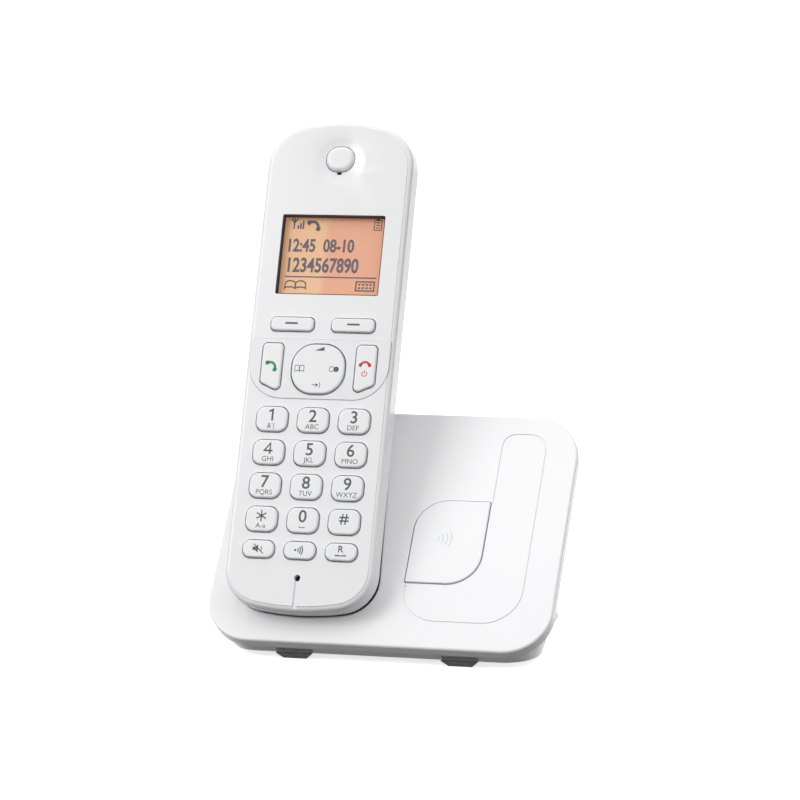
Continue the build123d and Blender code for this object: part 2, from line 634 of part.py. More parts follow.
# ---- Display: clear window, display panel and light guide, one behind the other ----
for name, front, thick in [
    ("display_window", WINDOW_FRONT, WINDOW_THICK),
    ("display_panel", DISPLAY_FRONT, DISPLAY_THICK),
    ("display_light_guide", GUIDE_FRONT, LIGHT_GUIDE_THICK),
]:
    with BuildPart() as layer:
        with BuildSketch(HANDSET.offset(front - thick)):
            with Locations((0, WINDOW_CENTRE)):
                RectangleRounded(*DISPLAY_SIZE, WINDOW_CORNER)
        extrude(amount=thick)
    finish(layer.part, name)

# ---- Earpiece cap: a rounded dome in the dish, held by a rim behind the face ----
with BuildPart() as earpiece_cap:
    with BuildSketch(HANDSET.offset(WALL_BACK)):
        with Locations((0, EARPIECE_CENTRE)):
            RectangleRounded(*EARPIECE_SIZE)
    extrude(amount=HANDSET_WALL + EARPIECE_PROUD)
    fillet(faces().sort_by(OUTWARD)[-1].edges(), EARPIECE_PROUD + DISH_DEPTH)
    with BuildSketch(HANDSET.offset(WALL_BACK - EARPIECE_RIM / 2)):
        with Locations((0, EARPIECE_CENTRE + EARPIECE_RIM)):
            RectangleRounded(
                EARPIECE_SIZE[0] + 2 * EARPIECE_RIM, EARPIECE_SIZE[1], EARPIECE_SIZE[2]
            )
    extrude(amount=EARPIECE_RIM / 2)
finish(earpiece_cap.part, "earpiece_cap")

# ---- Receiver, microphone and ringer speaker ----
receiver_front = WALL_BACK - EARPIECE_RIM / 2 - STACK_GAP
with BuildPart() as receiver_speaker:
    with BuildSketch(HANDSET.offset(receiver_front - RECEIVER_THICK)):
        with Locations((0, EARPIECE_CENTRE)):
            Circle(RECEIVER_RADIUS)
    extrude(amount=RECEIVER_THICK)
    chamfer(faces().sort_by(OUTWARD)[0].edges(), EARPIECE_RIM)
finish(receiver_speaker.part, "receiver_speaker")

with BuildPart() as microphone:
    with BuildSketch(HANDSET.offset(BOARD_FRONT)):
        with Locations((0, MIC_CENTRE)):
            Circle(MIC_RADIUS)
    extrude(amount=WALL_BACK - STACK_GAP - BOARD_FRONT)
    with BuildSketch(HANDSET.offset(WALL_BACK - STACK_GAP - HANDSET_WALL / 2)):
        with Locations((0, MIC_CENTRE)):
            Circle(MIC_HOLE_RADIUS)
    extrude(amount=HANDSET_WALL / 2, mode=Mode.SUBTRACT)
finish(microphone.part, "microphone")

with BuildPart() as ringer_speaker:
    with BuildSketch(HANDSET.offset(-HANDSET_DEPTH + HANDSET_WALL)):
        with Locations((0, RINGER_CENTRE)):
            Circle(RINGER_RADIUS)
    extrude(amount=RINGER_THICK)
    with BuildSketch(HANDSET.offset(-HANDSET_DEPTH + HANDSET_WALL + RINGER_THICK)):
        with Locations((0, RINGER_CENTRE)):
            Circle(RINGER_RADIUS / 2)
    extrude(amount=RINGER_THICK / 2)
finish(ringer_speaker.part, "ringer_speaker")

# ---- Handset circuit board and aerial ----
board_width, board_low, board_high, board_corner = HANDSET_BOARD
with BuildPart() as handset_board:
    with BuildSketch(HANDSET.offset(BOARD_FRONT - BOARD_THICK)):
        with Locations((0, (board_low + board_high) / 2)):
            RectangleRounded(board_width, board_high - board_low, board_corner)
    extrude(amount=BOARD_THICK)
finish(handset_board.part, "handset_board")

with BuildPart() as handset_antenna:
    with BuildSketch(HANDSET.offset(ANTENNA_CENTRE[1])):
        with Locations((0, ANTENNA_CENTRE[0])):
            RectangleRounded(ANTENNA_SIZE[0], ANTENNA_SIZE[1], ANTENNA_SIZE[1] / 4)
            Rectangle(ANTENNA_SIZE[0] * 0.7, ANTENNA_SIZE[2] * 2, mode=Mode.SUBTRACT)
    extrude(amount=ANTENNA_SIZE[2])
finish(handset_antenna.part, "handset_antenna")

# ---- Two cells side by side, with sprung terminals at both ends ----
for name, side in [("battery_cell_left", -1), ("battery_cell_right", 1)]:
    cell_x = side * (CELL_RADIUS + CELL_GAP / 2)
    low_nub = CELL_NUB[1] if side > 0 else 0
    with BuildPart() as cell:
        with BuildSketch(across_handset(CELL_LOW + low_nub)):
            with Locations((cell_x, -CELL_DEPTH)):
                Circle(CELL_RADIUS)
        extrude(amount=CELL_LENGTH)
        chamfer(edges().filter_by(GeomType.CIRCLE), CELL_NUB[1] / 2)
        nub_start = CELL_LOW if side > 0 else CELL_LOW + CELL_LENGTH
        with BuildSketch(across_handset(nub_start)):
            with Locations((cell_x, -CELL_DEPTH)):
                Circle(CELL_NUB[0])
        extrude(amount=CELL_NUB[1])
    finish(cell.part, name)

bay_high = BAY_LOW + BAY_LENGTH
for name, low, inward in [
    ("battery_terminals_bottom", BAY_LOW, 1), ("battery_terminals_top", bay_high, -1)
]:
    cell_end = CELL_LOW if inward > 0 else CELL_LOW + CELL_LENGTH + CELL_NUB[1]
    reach = abs(cell_end - low) - STACK_GAP
    with BuildPart() as terminals:
        for side in (-1, 1):
            with BuildSketch(across_handset(low)):
                with Locations((side * (CELL_RADIUS + CELL_GAP / 2), -CELL_DEPTH)):
                    Rectangle(*TERMINAL_SIZE)
            extrude(amount=inward * TERMINAL_THICK)
            with BuildSketch(across_handset(low + inward * TERMINAL_THICK)):
                with Locations((side * (CELL_RADIUS + CELL_GAP / 2), -CELL_DEPTH)):
                    Circle(CELL_NUB[0])
            extrude(amount=inward * (reach - TERMINAL_THICK), taper=15)
    finish(terminals.part, name)

# ---- Battery door: slides down the back to unlatch ----
with BuildPart() as battery_door:
    with BuildSketch(HANDSET.offset(-HANDSET_DEPTH)):
        with Locations((0, DOOR_CENTRE)):
            RectangleRounded(DOOR_WIDTH, DOOR_LENGTH, DOOR_CORNER)
    extrude(amount=DOOR_THICK)
    with BuildSketch(HANDSET.offset(-HANDSET_DEPTH)):
        with Locations((0, DOOR_LOW + DOOR_LENGTH * 0.8)):
            with GridLocations(0, GRIP_PITCH, 1, GRIP_COUNT):
                SlotOverall(GRIP_SIZE[0], GRIP_SIZE[1])
    extrude(amount=GRIP_SIZE[2], mode=Mode.SUBTRACT)
    chamfer(faces().sort_by(OUTWARD)[0].outer_wire().edges(), SEAM_CHAMFER)
finish(battery_door.part, "battery_door")

# ---- Charging plates in the handset's bottom end ----
for name, side in [("handset_charge_plate_left", -1), ("handset_charge_plate_right", 1)]:
    with BuildPart() as charge_plate:
        with BuildSketch(across_handset(CHARGE_PLATE_LOW)):
            with Locations((side * CONTACT_SPACING / 2, CONTACT_DEPTH)):
                Rectangle(CHARGE_PLATE[0], CHARGE_PLATE[1])
        extrude(amount=CHARGE_PLATE[2])
    finish(charge_plate.part, name)

# ---- Handset screws, put in from the back ----
with BuildPart() as handset_screws:
    for side in (-1, 1):
        with BuildSketch(HANDSET.offset(-HANDSET_DEPTH + SCREW_HEAD_THICK)):
            with Locations((side * HANDSET_SCREW_X, HANDSET_SCREW_V)):
                Circle(SCREW_HEAD_RADIUS)
        extrude(amount=SCREW_HEAD_THICK)
        with BuildSketch(HANDSET.offset(-HANDSET_DEPTH + 2 * SCREW_HEAD_THICK)):
            with Locations((side * HANDSET_SCREW_X, HANDSET_SCREW_V)):
                Circle(SCREW_SHANK_RADIUS)
        extrude(amount=HANDSET_DEPTH - 2 * SCREW_HEAD_THICK - 2 * HANDSET_WALL)
        with BuildSketch(HANDSET.offset(-HANDSET_DEPTH + SCREW_HEAD_THICK)):
            with Locations((side * HANDSET_SCREW_X, HANDSET_SCREW_V)):
                Rectangle(CROSS_SLOT[0], CROSS_SLOT[1])
                Rectangle(CROSS_SLOT[1], CROSS_SLOT[0])
        extrude(amount=CROSS_SLOT[2], mode=Mode.SUBTRACT)
finish(handset_screws.part, "handset_screws")

# ---- Base top cover: sloping plate with the docking pocket ----
with BuildPart() as base_top_cover:
    with BuildSketch(PLATE.offset(-COVER_DEPTH)):
        add(plate_outline())
    extrude(amount=COVER_DEPTH)
    fillet(faces().sort_by(OFF_PLATE)[-1].edges(), COVER_EDGE_ROUND)
    with BuildSketch(PLATE.offset(-COVER_DEPTH)):
        add(plate_outline(-COVER_WALL))
    extrude(amount=COVER_DEPTH - COVER_WALL, mode=Mode.SUBTRACT)
    add(pocket_tub())
    for x, y in BASE_SCREWS:
        add(screw_boss(x, y, SCREW_SHANK_RADIUS + BOSS_WALL))
    add(handset_form(POCKET_GAP, HANDSET_DEPTH), mode=Mode.SUBTRACT)
    fillet(faces().sort_by(OFF_PLATE)[-1].inner_wires()[0].edges(), MOUTH_ROUND)
    # Opening for the locator button
    with BuildSketch(PLATE.offset(-COVER_WALL)):
        add(leaf_outline(LEAF_GAP))
    extrude(amount=COVER_WALL, mode=Mode.SUBTRACT)
    # Fine groove from the button's corners round the right side
    with BuildSketch(PLATE.offset(-GROOVE_DEPTH)):
        add(groove_outline())
        add(groove_outline(GROOVE_WIDTH), mode=Mode.SUBTRACT)
        with Locations((GROOVE_NECK - LEAF_SIZE[0] / 2, LEAF_CENTRE[1] - GROOVE_WIDTH)):
            Rectangle(
                LEAF_SIZE[0] + GROOVE_NECK / 4, LEAF_SIZE[1] + GROOVE_WIDTH, mode=Mode.SUBTRACT
            )
    extrude(amount=GROOVE_DEPTH, mode=Mode.SUBTRACT)
    # Slots for the charging contacts in the pocket's floor
    with BuildSketch(across_handset(-POCKET_GAP - 2 * POCKET_WALL)):
        with Locations((0, CONTACT_DEPTH)):
            with GridLocations(CONTACT_SPACING, 0, 2, 1):
                Rectangle(CONTACT_PIN[0] + 2 * CONTACT_GAP, CONTACT_PIN[1] + 2 * CONTACT_GAP)
    extrude(amount=4 * POCKET_WALL, mode=Mode.SUBTRACT)
    # Posts for the button's board, and holes in the bosses for the screws
    with BuildSketch(PLATE.offset(BUTTON_BOARD_TOP)):
        with Locations(BUTTON_BOARD_CENTRE):
            with GridLocations(
                BUTTON_BOARD[0] - 2 * BUTTON_POST_INSET, BUTTON_BOARD[1] - 2 * BUTTON_POST_INSET, 2, 2
            ):
                Circle(BUTTON_POST_RADIUS)
    extrude(amount=-COVER_WALL / 2 - BUTTON_BOARD_TOP)
    with BuildSketch(level(CASE_FLOOR + BASE_SCREW_PAD[1])):
        with Locations(*BASE_SCREWS):
            Circle(SCREW_SHANK_RADIUS + SCREW_FIT)
    extrude(amount=BASE_SCREW_LENGTH, mode=Mode.SUBTRACT)
finish(base_top_cover.part, "base_top_cover")

# ---- Base bottom case: tapering tray with jack windows, screw pads and foot lugs ----
with BuildPart() as base_bottom_case:
    add(case_form(0, CASE_BOTTOM))
    add(case_form(CASE_WALL, CASE_FLOOR), mode=Mode.SUBTRACT)
    with BuildSketch(level(CASE_BOTTOM)):
        with Locations((0, REAR_FEET[1])):
            with GridLocations(2 * REAR_FEET[0], 0, 2, 1):
                RectangleRounded(FOOT_TOP[0], FOOT_TOP[1] + 2 * LUG_ROUND, LUG_ROUND)
    extrude(amount=LUG_HEIGHT)
    with BuildSketch(level(CASE_FLOOR)):
        with Locations(*BASE_SCREWS):
            Circle(BASE_SCREW_PAD[0])
    extrude(amount=BASE_SCREW_PAD[1])
    with BuildSketch(level(CASE_FLOOR)):
        for x in BASE_BOARD[:2]:
            for y in BASE_BOARD[2:]:
                inset_x = STANDOFF_RADIUS if x < 0 else -STANDOFF_RADIUS
                inset_y = STANDOFF_RADIUS if y < sum(BASE_BOARD[2:]) / 2 else -STANDOFF_RADIUS
                with Locations((x + inset_x, y + inset_y)):
                    Circle(STANDOFF_RADIUS)
    extrude(amount=BASE_BOARD_LIFT)
    for x, y in BASE_SCREWS:
        with BuildSketch(level(CASE_BOTTOM)):
            with Locations((x, y)):
                Circle(SCREW_HEAD_RADIUS + SCREW_HEAD_FIT)
        extrude(amount=CASE_WALL, mode=Mode.SUBTRACT)
        with BuildSketch(level(CASE_BOTTOM)):
            with Locations((x, y)):
                Circle(SCREW_SHANK_RADIUS + SCREW_FIT)
        extrude(amount=CASE_WALL + BASE_SCREW_PAD[1], mode=Mode.SUBTRACT)
    # Windows in the rear wall for the jacks
    for x, (width, depth, height) in [(LINE_JACK_X, LINE_JACK), (POWER_JACK_X, POWER_JACK)]:
        with BuildSketch(level(BOARD_TOP - JACK_GAP)):
            with Locations((x, JACK_FACE)):
                Rectangle(width + 2 * JACK_GAP, 2 * COVER_DEPTH)
        extrude(amount=height + 2 * JACK_GAP, mode=Mode.SUBTRACT)
finish(base_bottom_case.part, "base_bottom_case")

# ---- Locator button and the switch under it ----
button_flange = -COVER_WALL - KEY_CLEARANCE
with BuildPart() as locator_button:
    with BuildSketch(PLATE.offset(button_flange)):
        add(leaf_outline())
    extrude(amount=LEAF_PROUD - button_flange)
    fillet(faces().sort_by(OFF_PLATE)[-1].edges(), LEAF_EDGE)
    with BuildSketch(PLATE.offset(button_flange - LEAF_FLANGE_THICK)):
        add(leaf_outline(LEAF_FLANGE))
    extrude(amount=LEAF_FLANGE_THICK)
    with BuildSketch(PLATE.offset(button_flange - LEAF_FLANGE_THICK - LEAF_STEM_LENGTH)):
        with Locations(LEAF_CENTRE):
            Circle(LEAF_STEM_RADIUS)
    extrude(amount=LEAF_STEM_LENGTH)
finish(locator_button.part, "locator_button")

with BuildPart() as button_board:
    with BuildSketch(PLATE.offset(BUTTON_BOARD_TOP - BUTTON_BOARD[2])):
        with Locations(BUTTON_BOARD_CENTRE):
            Rectangle(BUTTON_BOARD[0], BUTTON_BOARD[1])
    extrude(amount=BUTTON_BOARD[2])
finish(button_board.part, "button_board")

with BuildPart() as locator_switch:
    with BuildSketch(PLATE.offset(BUTTON_BOARD_TOP)):
        with Locations(LEAF_CENTRE):
            Rectangle(SWITCH_SIZE[0], SWITCH_SIZE[0])
    extrude(amount=SWITCH_SIZE[1])
    with BuildSketch(PLATE.offset(BUTTON_BOARD_TOP + SWITCH_SIZE[1])):
        with Locations(LEAF_CENTRE):
            Circle(SWITCH_PLUNGER[0])
    extrude(amount=SWITCH_PLUNGER[1])
finish(locator_switch.part, "locator_switch")

# ---- Base circuit board with the line and power jacks at its rear edge ----
board_left, board_right, board_front, board_back = BASE_BOARD
with BuildPart() as base_board:
    with BuildSketch(level(BOARD_LOW)):
        with Locations(((board_left + board_right) / 2, (board_front + board_back) / 2)):
            Rectangle(board_right - board_left, board_back - board_front)
    extrude(amount=BASE_BOARD_THICK)
finish(base_board.part, "base_board")

with BuildPart() as line_jack:
    with BuildSketch(level(BOARD_TOP)):
        with Locations((LINE_JACK_X, JACK_FACE - LINE_JACK[1] / 2)):
            Rectangle(LINE_JACK[0], LINE_JACK[1])
    extrude(amount=LINE_JACK[2])
    socket_middle = BOARD_TOP + LINE_JACK[2] / 2
    socket_plane = Plane(
        origin=(LINE_JACK_X, EDGE_Y + JACK_FACE, socket_middle), x_dir=(-1, 0, 0), z_dir=(0, 1, 0)
    )
    with BuildSketch(socket_plane):
        Rectangle(LINE_SOCKET[0], LINE_SOCKET[2])
        with Locations((0, -(LINE_SOCKET[2] + LINE_LATCH[1]) / 2)):
            Rectangle(*LINE_LATCH)
    extrude(amount=-LINE_SOCKET[1], mode=Mode.SUBTRACT)
finish(line_jack.part, "line_jack")

with BuildPart() as power_jack:
    with BuildSketch(level(BOARD_TOP)):
        with Locations((POWER_JACK_X, JACK_FACE - POWER_JACK[1] / 2)):
            Rectangle(POWER_JACK[0], POWER_JACK[1])
    extrude(amount=POWER_JACK[2])
    power_plane = Plane(
        origin=(POWER_JACK_X, EDGE_Y + JACK_FACE, BOARD_TOP + POWER_JACK[2] / 2),
        x_dir=(-1, 0, 0),
        z_dir=(0, 1, 0),
    )
    with BuildSketch(power_plane):
        Circle(POWER_SOCKET_RADIUS)
        Circle(POWER_PIN_RADIUS, mode=Mode.SUBTRACT)
    extrude(amount=-POWER_SOCKET_DEPTH, mode=Mode.SUBTRACT)
finish(power_jack.part, "power_jack")

# ---- Sprung charging contacts and their holder under the pocket ----
for name, side in [("charge_contact_left", -1), ("charge_contact_right", 1)]:
    with BuildPart() as contact:
        with BuildSketch(across_handset(CONTACT_TIP - CONTACT_LENGTH)):
            with Locations((side * CONTACT_SPACING / 2, CONTACT_DEPTH)):
                Rectangle(*CONTACT_PIN)
        extrude(amount=CONTACT_LENGTH)
        fillet(faces().sort_by(LENGTHWISE)[-1].edges().filter_by(Axis.X), CONTACT_PIN[1] * 0.45)
        with BuildSketch(across_handset(CONTACT_COLLAR_TOP - CONTACT_COLLAR[2])):
            with Locations((side * CONTACT_SPACING / 2, CONTACT_DEPTH)):
                Rectangle(CONTACT_COLLAR[0], CONTACT_COLLAR[1])
        extrude(amount=CONTACT_COLLAR[2])
    finish(contact.part, name)

with BuildPart() as contact_holder:
    with BuildSketch(across_handset(HOLDER_TOP - HOLDER_SIZE[2])):
        with Locations((0, CONTACT_DEPTH)):
            Rectangle(HOLDER_SIZE[0], HOLDER_SIZE[1])
            with GridLocations(CONTACT_SPACING, 0, 2, 1):
                Rectangle(
                    CONTACT_COLLAR[0] + 2 * CONTACT_GAP,
                    CONTACT_COLLAR[1] + 2 * CONTACT_GAP,
                    mode=Mode.SUBTRACT,
                )
    extrude(amount=HOLDER_SIZE[2])
finish(contact_holder.part, "contact_holder")

# ---- Base screws, put in from below ----
with BuildPart() as base_screws:
    for x, y in BASE_SCREWS:
        head_low = CASE_FLOOR - SCREW_HEAD_THICK
        with BuildSketch(level(head_low)):
            with Locations((x, y)):
                Circle(SCREW_HEAD_RADIUS)
        extrude(amount=SCREW_HEAD_THICK)
        with BuildSketch(level(CASE_FLOOR)):
            with Locations((x, y)):
                Circle(SCREW_SHANK_RADIUS)
        extrude(amount=BASE_SCREW_PAD[1] + BASE_SCREW_LENGTH - SCREW_HEAD_THICK)
        with BuildSketch(level(head_low)):
            with Locations((x, y)):
                Rectangle(CROSS_SLOT[0], CROSS_SLOT[1])
                Rectangle(CROSS_SLOT[1], CROSS_SLOT[0])
        extrude(amount=CROSS_SLOT[2], mode=Mode.SUBTRACT)
finish(base_screws.part, "base_screws")

# ---- Four tapered feet ----
for end, (half_spacing, foot_y) in [("front", FRONT_FEET), ("rear", REAR_FEET)]:
    for hand, side in [("left", -1), ("right", 1)]:
        with BuildPart() as foot:
            with BuildSketch(level(0)):
                with Locations((side * half_spacing, foot_y)):
                    Rectangle(*FOOT_SOLE)
            with BuildSketch(level(CASE_BOTTOM)):
                with Locations((side * half_spacing, foot_y)):
                    Rectangle(*FOOT_TOP)
            loft(ruled=True)
        finish(foot.part, f"foot_{end}_{hand}")
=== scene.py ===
import json
import logging
from dataclasses import dataclass, field
from enum import Enum
from math import cos, pi, radians, sin
from typing import ClassVar, Iterable, Sequence

import bmesh
import bpy
from mathutils import Matrix, Vector

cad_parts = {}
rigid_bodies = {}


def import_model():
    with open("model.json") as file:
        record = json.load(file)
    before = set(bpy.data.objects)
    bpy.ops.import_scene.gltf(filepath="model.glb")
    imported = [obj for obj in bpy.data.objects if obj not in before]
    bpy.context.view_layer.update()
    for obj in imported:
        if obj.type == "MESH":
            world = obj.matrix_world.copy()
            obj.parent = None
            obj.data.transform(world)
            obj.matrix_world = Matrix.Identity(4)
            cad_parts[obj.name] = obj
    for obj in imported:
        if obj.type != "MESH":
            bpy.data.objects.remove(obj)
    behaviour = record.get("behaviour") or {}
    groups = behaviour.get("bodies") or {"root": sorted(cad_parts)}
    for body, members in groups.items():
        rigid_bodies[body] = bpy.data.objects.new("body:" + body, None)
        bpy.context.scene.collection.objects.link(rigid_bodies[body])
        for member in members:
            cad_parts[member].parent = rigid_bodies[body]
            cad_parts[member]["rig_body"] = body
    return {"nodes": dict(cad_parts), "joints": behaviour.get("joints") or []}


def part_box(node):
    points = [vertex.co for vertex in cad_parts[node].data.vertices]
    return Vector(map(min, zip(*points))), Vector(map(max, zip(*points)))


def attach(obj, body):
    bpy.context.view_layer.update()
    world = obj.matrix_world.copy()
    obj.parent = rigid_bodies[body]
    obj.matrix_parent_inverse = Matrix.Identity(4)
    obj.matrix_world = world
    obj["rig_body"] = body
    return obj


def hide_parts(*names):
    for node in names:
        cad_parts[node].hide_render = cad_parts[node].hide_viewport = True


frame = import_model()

# Cordless telephone docked on its charging base. Sizes are in millimetres in a local frame
# (handset face, or sloping top of the base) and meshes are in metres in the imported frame.

LOG = logging.getLogger("cordless_phone")
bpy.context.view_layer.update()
MM = 0.001

Point = tuple[float, float]
Loop = list[Point]


# ---------------------------------------------------------------- small helpers


def linear(code: str, alpha: float = 1.0) -> tuple[float, float, float, float]:
    """Turns an sRGB hex colour to linear values.

    Args:
        code: Six hex digits after a hash.
        alpha: The fourth value, passed on unchanged.

    Returns:
        Red, green and blue as linear light, and alpha.
    """
    parts = [int(code[i : i + 2], 16) / 255 for i in (1, 3, 5)]
    r, g, b = (c / 12.92 if c <= 0.04045 else ((c + 0.055) / 1.055) ** 2.4 for c in parts)
    return r, g, b, alpha


def add_node(
    tree: bpy.types.NodeTree, kind: str, inputs: dict | None = None, **settings: object
) -> bpy.types.Node:
    """Adds one node with its settings, values and links.

    Args:
        tree: The tree it goes in.
        kind: The node's Blender type name.
        inputs: Socket name or number to a value, or to an output socket to link from.
        **settings: Attributes of the node itself.

    Returns:
        The new node.
    """
    node = tree.nodes.new(kind)
    for name, value in settings.items():
        setattr(node, name, value)
    for name, value in (inputs or {}).items():
        if isinstance(value, bpy.types.NodeSocket):
            tree.links.new(value, node.inputs[name])
        else:
            node.inputs[name].default_value = value
    return node


def link_object(name: str, mesh: bpy.types.Mesh) -> bpy.types.Object:
    """Makes an object of a mesh and puts it in the scene.

    Args:
        name: The object's and the mesh's name.
        mesh: The finished mesh.

    Returns:
        The linked object.
    """
    mesh.name = name
    thing = bpy.data.objects.new(name, mesh)
    bpy.context.scene.collection.objects.link(thing)
    return thing


def baked_mesh(thing: bpy.types.Object) -> bpy.types.Mesh:
    """Evaluates an object's modifiers.

    Args:
        thing: An object in the scene; it is removed afterwards.

    Returns:
        The plain mesh that it evaluates to.
    """
    bpy.context.view_layer.update()
    view = thing.evaluated_get(bpy.context.evaluated_depsgraph_get())
    mesh = bpy.data.meshes.new_from_object(view)
    bpy.data.objects.remove(thing)
    return mesh


@dataclass(frozen=True)
class LocalFrame:
    """A flat working face of the object, in millimetres.

    Attributes:
        origin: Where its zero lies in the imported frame, in metres.
        up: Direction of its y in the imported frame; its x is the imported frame's x.
    """

    origin: Vector
    up: Vector

    @property
    def matrix(self) -> Matrix:
        """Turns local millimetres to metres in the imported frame."""
        across = Vector((1.0, 0.0, 0.0))
        out = across.cross(self.up).normalized()
        turn = Matrix((across, self.up, out)).transposed().to_4x4()
        return Matrix.Translation(self.origin) @ turn @ Matrix.Scale(MM, 4)

    def place(self, mesh: bpy.types.Mesh) -> bpy.types.Mesh:
        """Moves a mesh of local millimetres to its place."""
        mesh.transform(self.matrix)
        return mesh


def handset_frame() -> LocalFrame:
    """Finds the handset's face from the rocking key's hinge.

    Returns:
        Zero at the bottom end's middle on the face, y towards the earpiece.
    """
    joints = {joint["name"]: joint for joint in frame["joints"]}
    hinge = Vector(joints["nav_key_rock"]["pos_m"])
    up = Vector(joints["handset_lift"]["axis"]).normalized()
    inward = Vector(joints["key_5_press"]["axis"]).normalized()
    return LocalFrame(hinge - up * 78.4 * MM - inward * 1.5 * MM, up)


def plate_frame() -> LocalFrame:
    """Finds the base's sloping top from its cover's front edge.

    Returns:
        Zero at the front edge's middle, y up the slope.
    """
    tilt = radians(48.0)
    low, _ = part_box("base_top_cover")
    edge = low.y - 0.8 * MM * (cos(tilt) + sin(tilt) - 1)
    return LocalFrame(Vector((0.0, edge, 7.0 * MM)), Vector((0.0, cos(tilt), sin(tilt))))


# ---------------------------------------------------------------- finishes


@dataclass(frozen=True)
class Finish:
    """A real material as it looks at arm's length.

    Attributes:
        name: The material's own name and how its surface was made.
        colour: Its main colour, sRGB hex.
        second: The colour that its mottle wanders to.
        mottle_mm: Size of that mottle.
        roughness: Middle roughness, and how far it swings.
        grain_mm: Spacing of the surface's fine relief.
        relief_um: Height of that relief.
        ior: Index of refraction.
        metallic: One for a bare metal.
    """

    name: str
    colour: str
    second: str
    mottle_mm: float = 20.0
    roughness: tuple[float, float] = (0.3, 0.03)
    grain_mm: float = 1.2
    relief_um: float = 2.0
    ior: float = 1.5
    metallic: float = 0.0

    def grain(self, tree: bpy.types.NodeTree, spot: bpy.types.NodeSocket) -> bpy.types.NodeSocket:
        """Gives the height pattern of the fine relief.

        Args:
            tree: The material's tree.
            spot: The place on the piece.

        Returns:
            A height from zero to one.
        """
        noise = {"Vector": spot, "Scale": 1 / (self.grain_mm * MM), "Detail": 2.0}
        return add_node(tree, "ShaderNodeTexNoise", noise).outputs[0]

    def dress(self, tree: bpy.types.NodeTree, shader: bpy.types.Node) -> None:
        """Adds what one kind of material has beyond the common look."""

    def make(self) -> bpy.types.Material:
        """Builds the material, or finds it if it was built before.

        Returns:
            The material, ready to put on a mesh.
        """
        if self.name in bpy.data.materials:
            return bpy.data.materials[self.name]
        material = bpy.data.materials.new(self.name)
        material.use_nodes = True
        tree = material.node_tree
        tree.nodes.clear()
        spot = add_node(tree, "ShaderNodeTexCoord").outputs["Object"]
        mottle = add_node(
            tree,
            "ShaderNodeTexNoise",
            {"Vector": spot, "Scale": 1 / (self.mottle_mm * MM), "Detail": 3.0},
        ).outputs[0]
        colour = add_node(
            tree,
            "ShaderNodeMix",
            {0: mottle, 6: linear(self.colour), 7: linear(self.second)},
            data_type="RGBA",
        ).outputs[2]
        middle, swing = self.roughness
        gloss = add_node(
            tree,
            "ShaderNodeMapRange",
            {0: mottle, 1: 0.3, 2: 0.7, 3: middle - swing, 4: middle + swing},
        ).outputs[0]
        bump = add_node(
            tree,
            "ShaderNodeBump",
            {"Height": self.grain(tree, spot), "Distance": self.relief_um * 1e-6, "Strength": 1.0},
        ).outputs[0]
        shader = add_node(
            tree,
            "ShaderNodeBsdfPrincipled",
            {
                "Base Color": colour,
                "Roughness": gloss,
                "Normal": bump,
                "IOR": self.ior,
                "Metallic": self.metallic,
            },
        )
        add_node(tree, "ShaderNodeOutputMaterial", {"Surface": shader.outputs[0]})
        self.dress(tree, shader)
        return material


@dataclass(frozen=True)
class ClearAcrylic(Finish):
    """A thin clear pane: it lets the display show and adds only a faint sheen."""

    cover: float = 0.05

    def dress(self, tree: bpy.types.NodeTree, shader: bpy.types.Node) -> None:
        """Makes the pane nearly see-through."""
        shader.inputs["Alpha"].default_value = self.cover


@dataclass(frozen=True)
class Backlight(Finish):
    """A liquid crystal display lit from one side, so that its glow falls off across it.

    Attributes:
        near: Glow at the lit side.
        far: Glow at the other side.
        left_mm: Where the lit side is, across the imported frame.
        width_mm: How far the glow takes to fall off.
        strength: Light given out.
    """

    near: str = "#D09F70"
    far: str = "#CC8B66"
    left_mm: float = -28.5
    width_mm: float = 3.0
    strength: float = 0.35

    def dress(self, tree: bpy.types.NodeTree, shader: bpy.types.Node) -> None:
        """Grades the glow from the lit side to the other."""
        spot = add_node(tree, "ShaderNodeTexCoord").outputs["Object"]
        across = add_node(tree, "ShaderNodeSeparateXYZ", {0: spot}).outputs[0]
        left = self.left_mm * MM
        share = add_node(
            tree,
            "ShaderNodeMapRange",
            {0: across, 1: left, 2: left + self.width_mm * MM, 3: 0.0, 4: 1.0},
            interpolation_type="SMOOTHSTEP",
        ).outputs[0]
        glow = add_node(
            tree,
            "ShaderNodeMix",
            {0: share, 6: linear(self.near), 7: linear(self.far)},
            data_type="RGBA",
        ).outputs[2]
        tree.links.new(glow, shader.inputs["Base Color"])
        tree.links.new(glow, shader.inputs["Emission Color"])
        shader.inputs["Emission Strength"].default_value = self.strength


@dataclass(frozen=True)
class Brushed(Finish):
    """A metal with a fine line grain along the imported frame's x."""

    def grain(self, tree: bpy.types.NodeTree, spot: bpy.types.NodeSocket) -> bpy.types.NodeSocket:
        """Stretches the noise to lines."""
        long = add_node(
            tree, "ShaderNodeMapping", {"Vector": spot, "Scale": (0.05, 1.0, 1.0)}
        ).outputs[0]
        return super().grain(tree, long)


# Gloss white ABS: an even, slightly cool white whose broad, soft reflections bend a little,
# because a moulded face is never quite flat.
CASE_ABS = Finish(
    "ABS moulded gloss white", "#EFEFEF", "#EDEDEE", 35.0, (0.18, 0.02), 1.0, 0.6, 1.53
)
# The same ABS off a finer-textured tool: a key's top scatters its highlight more.
KEY_ABS = Finish(
    "ABS moulded satin white key", "#EEEEEE", "#EAEAEB", 12.0, (0.33, 0.02), 0.5, 0.8, 1.53
)
# The control panel round the call keys: the same ABS a shade greyer, painted shade so that its
# edge reads as the shaded line round it.
PANEL_ABS_PAINTED_SHADE = Finish(
    "ABS moulded gloss panel greyed as painted shade", "#EBEBEE", "#E7E7EA", 12.0, (0.24, 0.02), 3.0, 1.0, 1.53
)
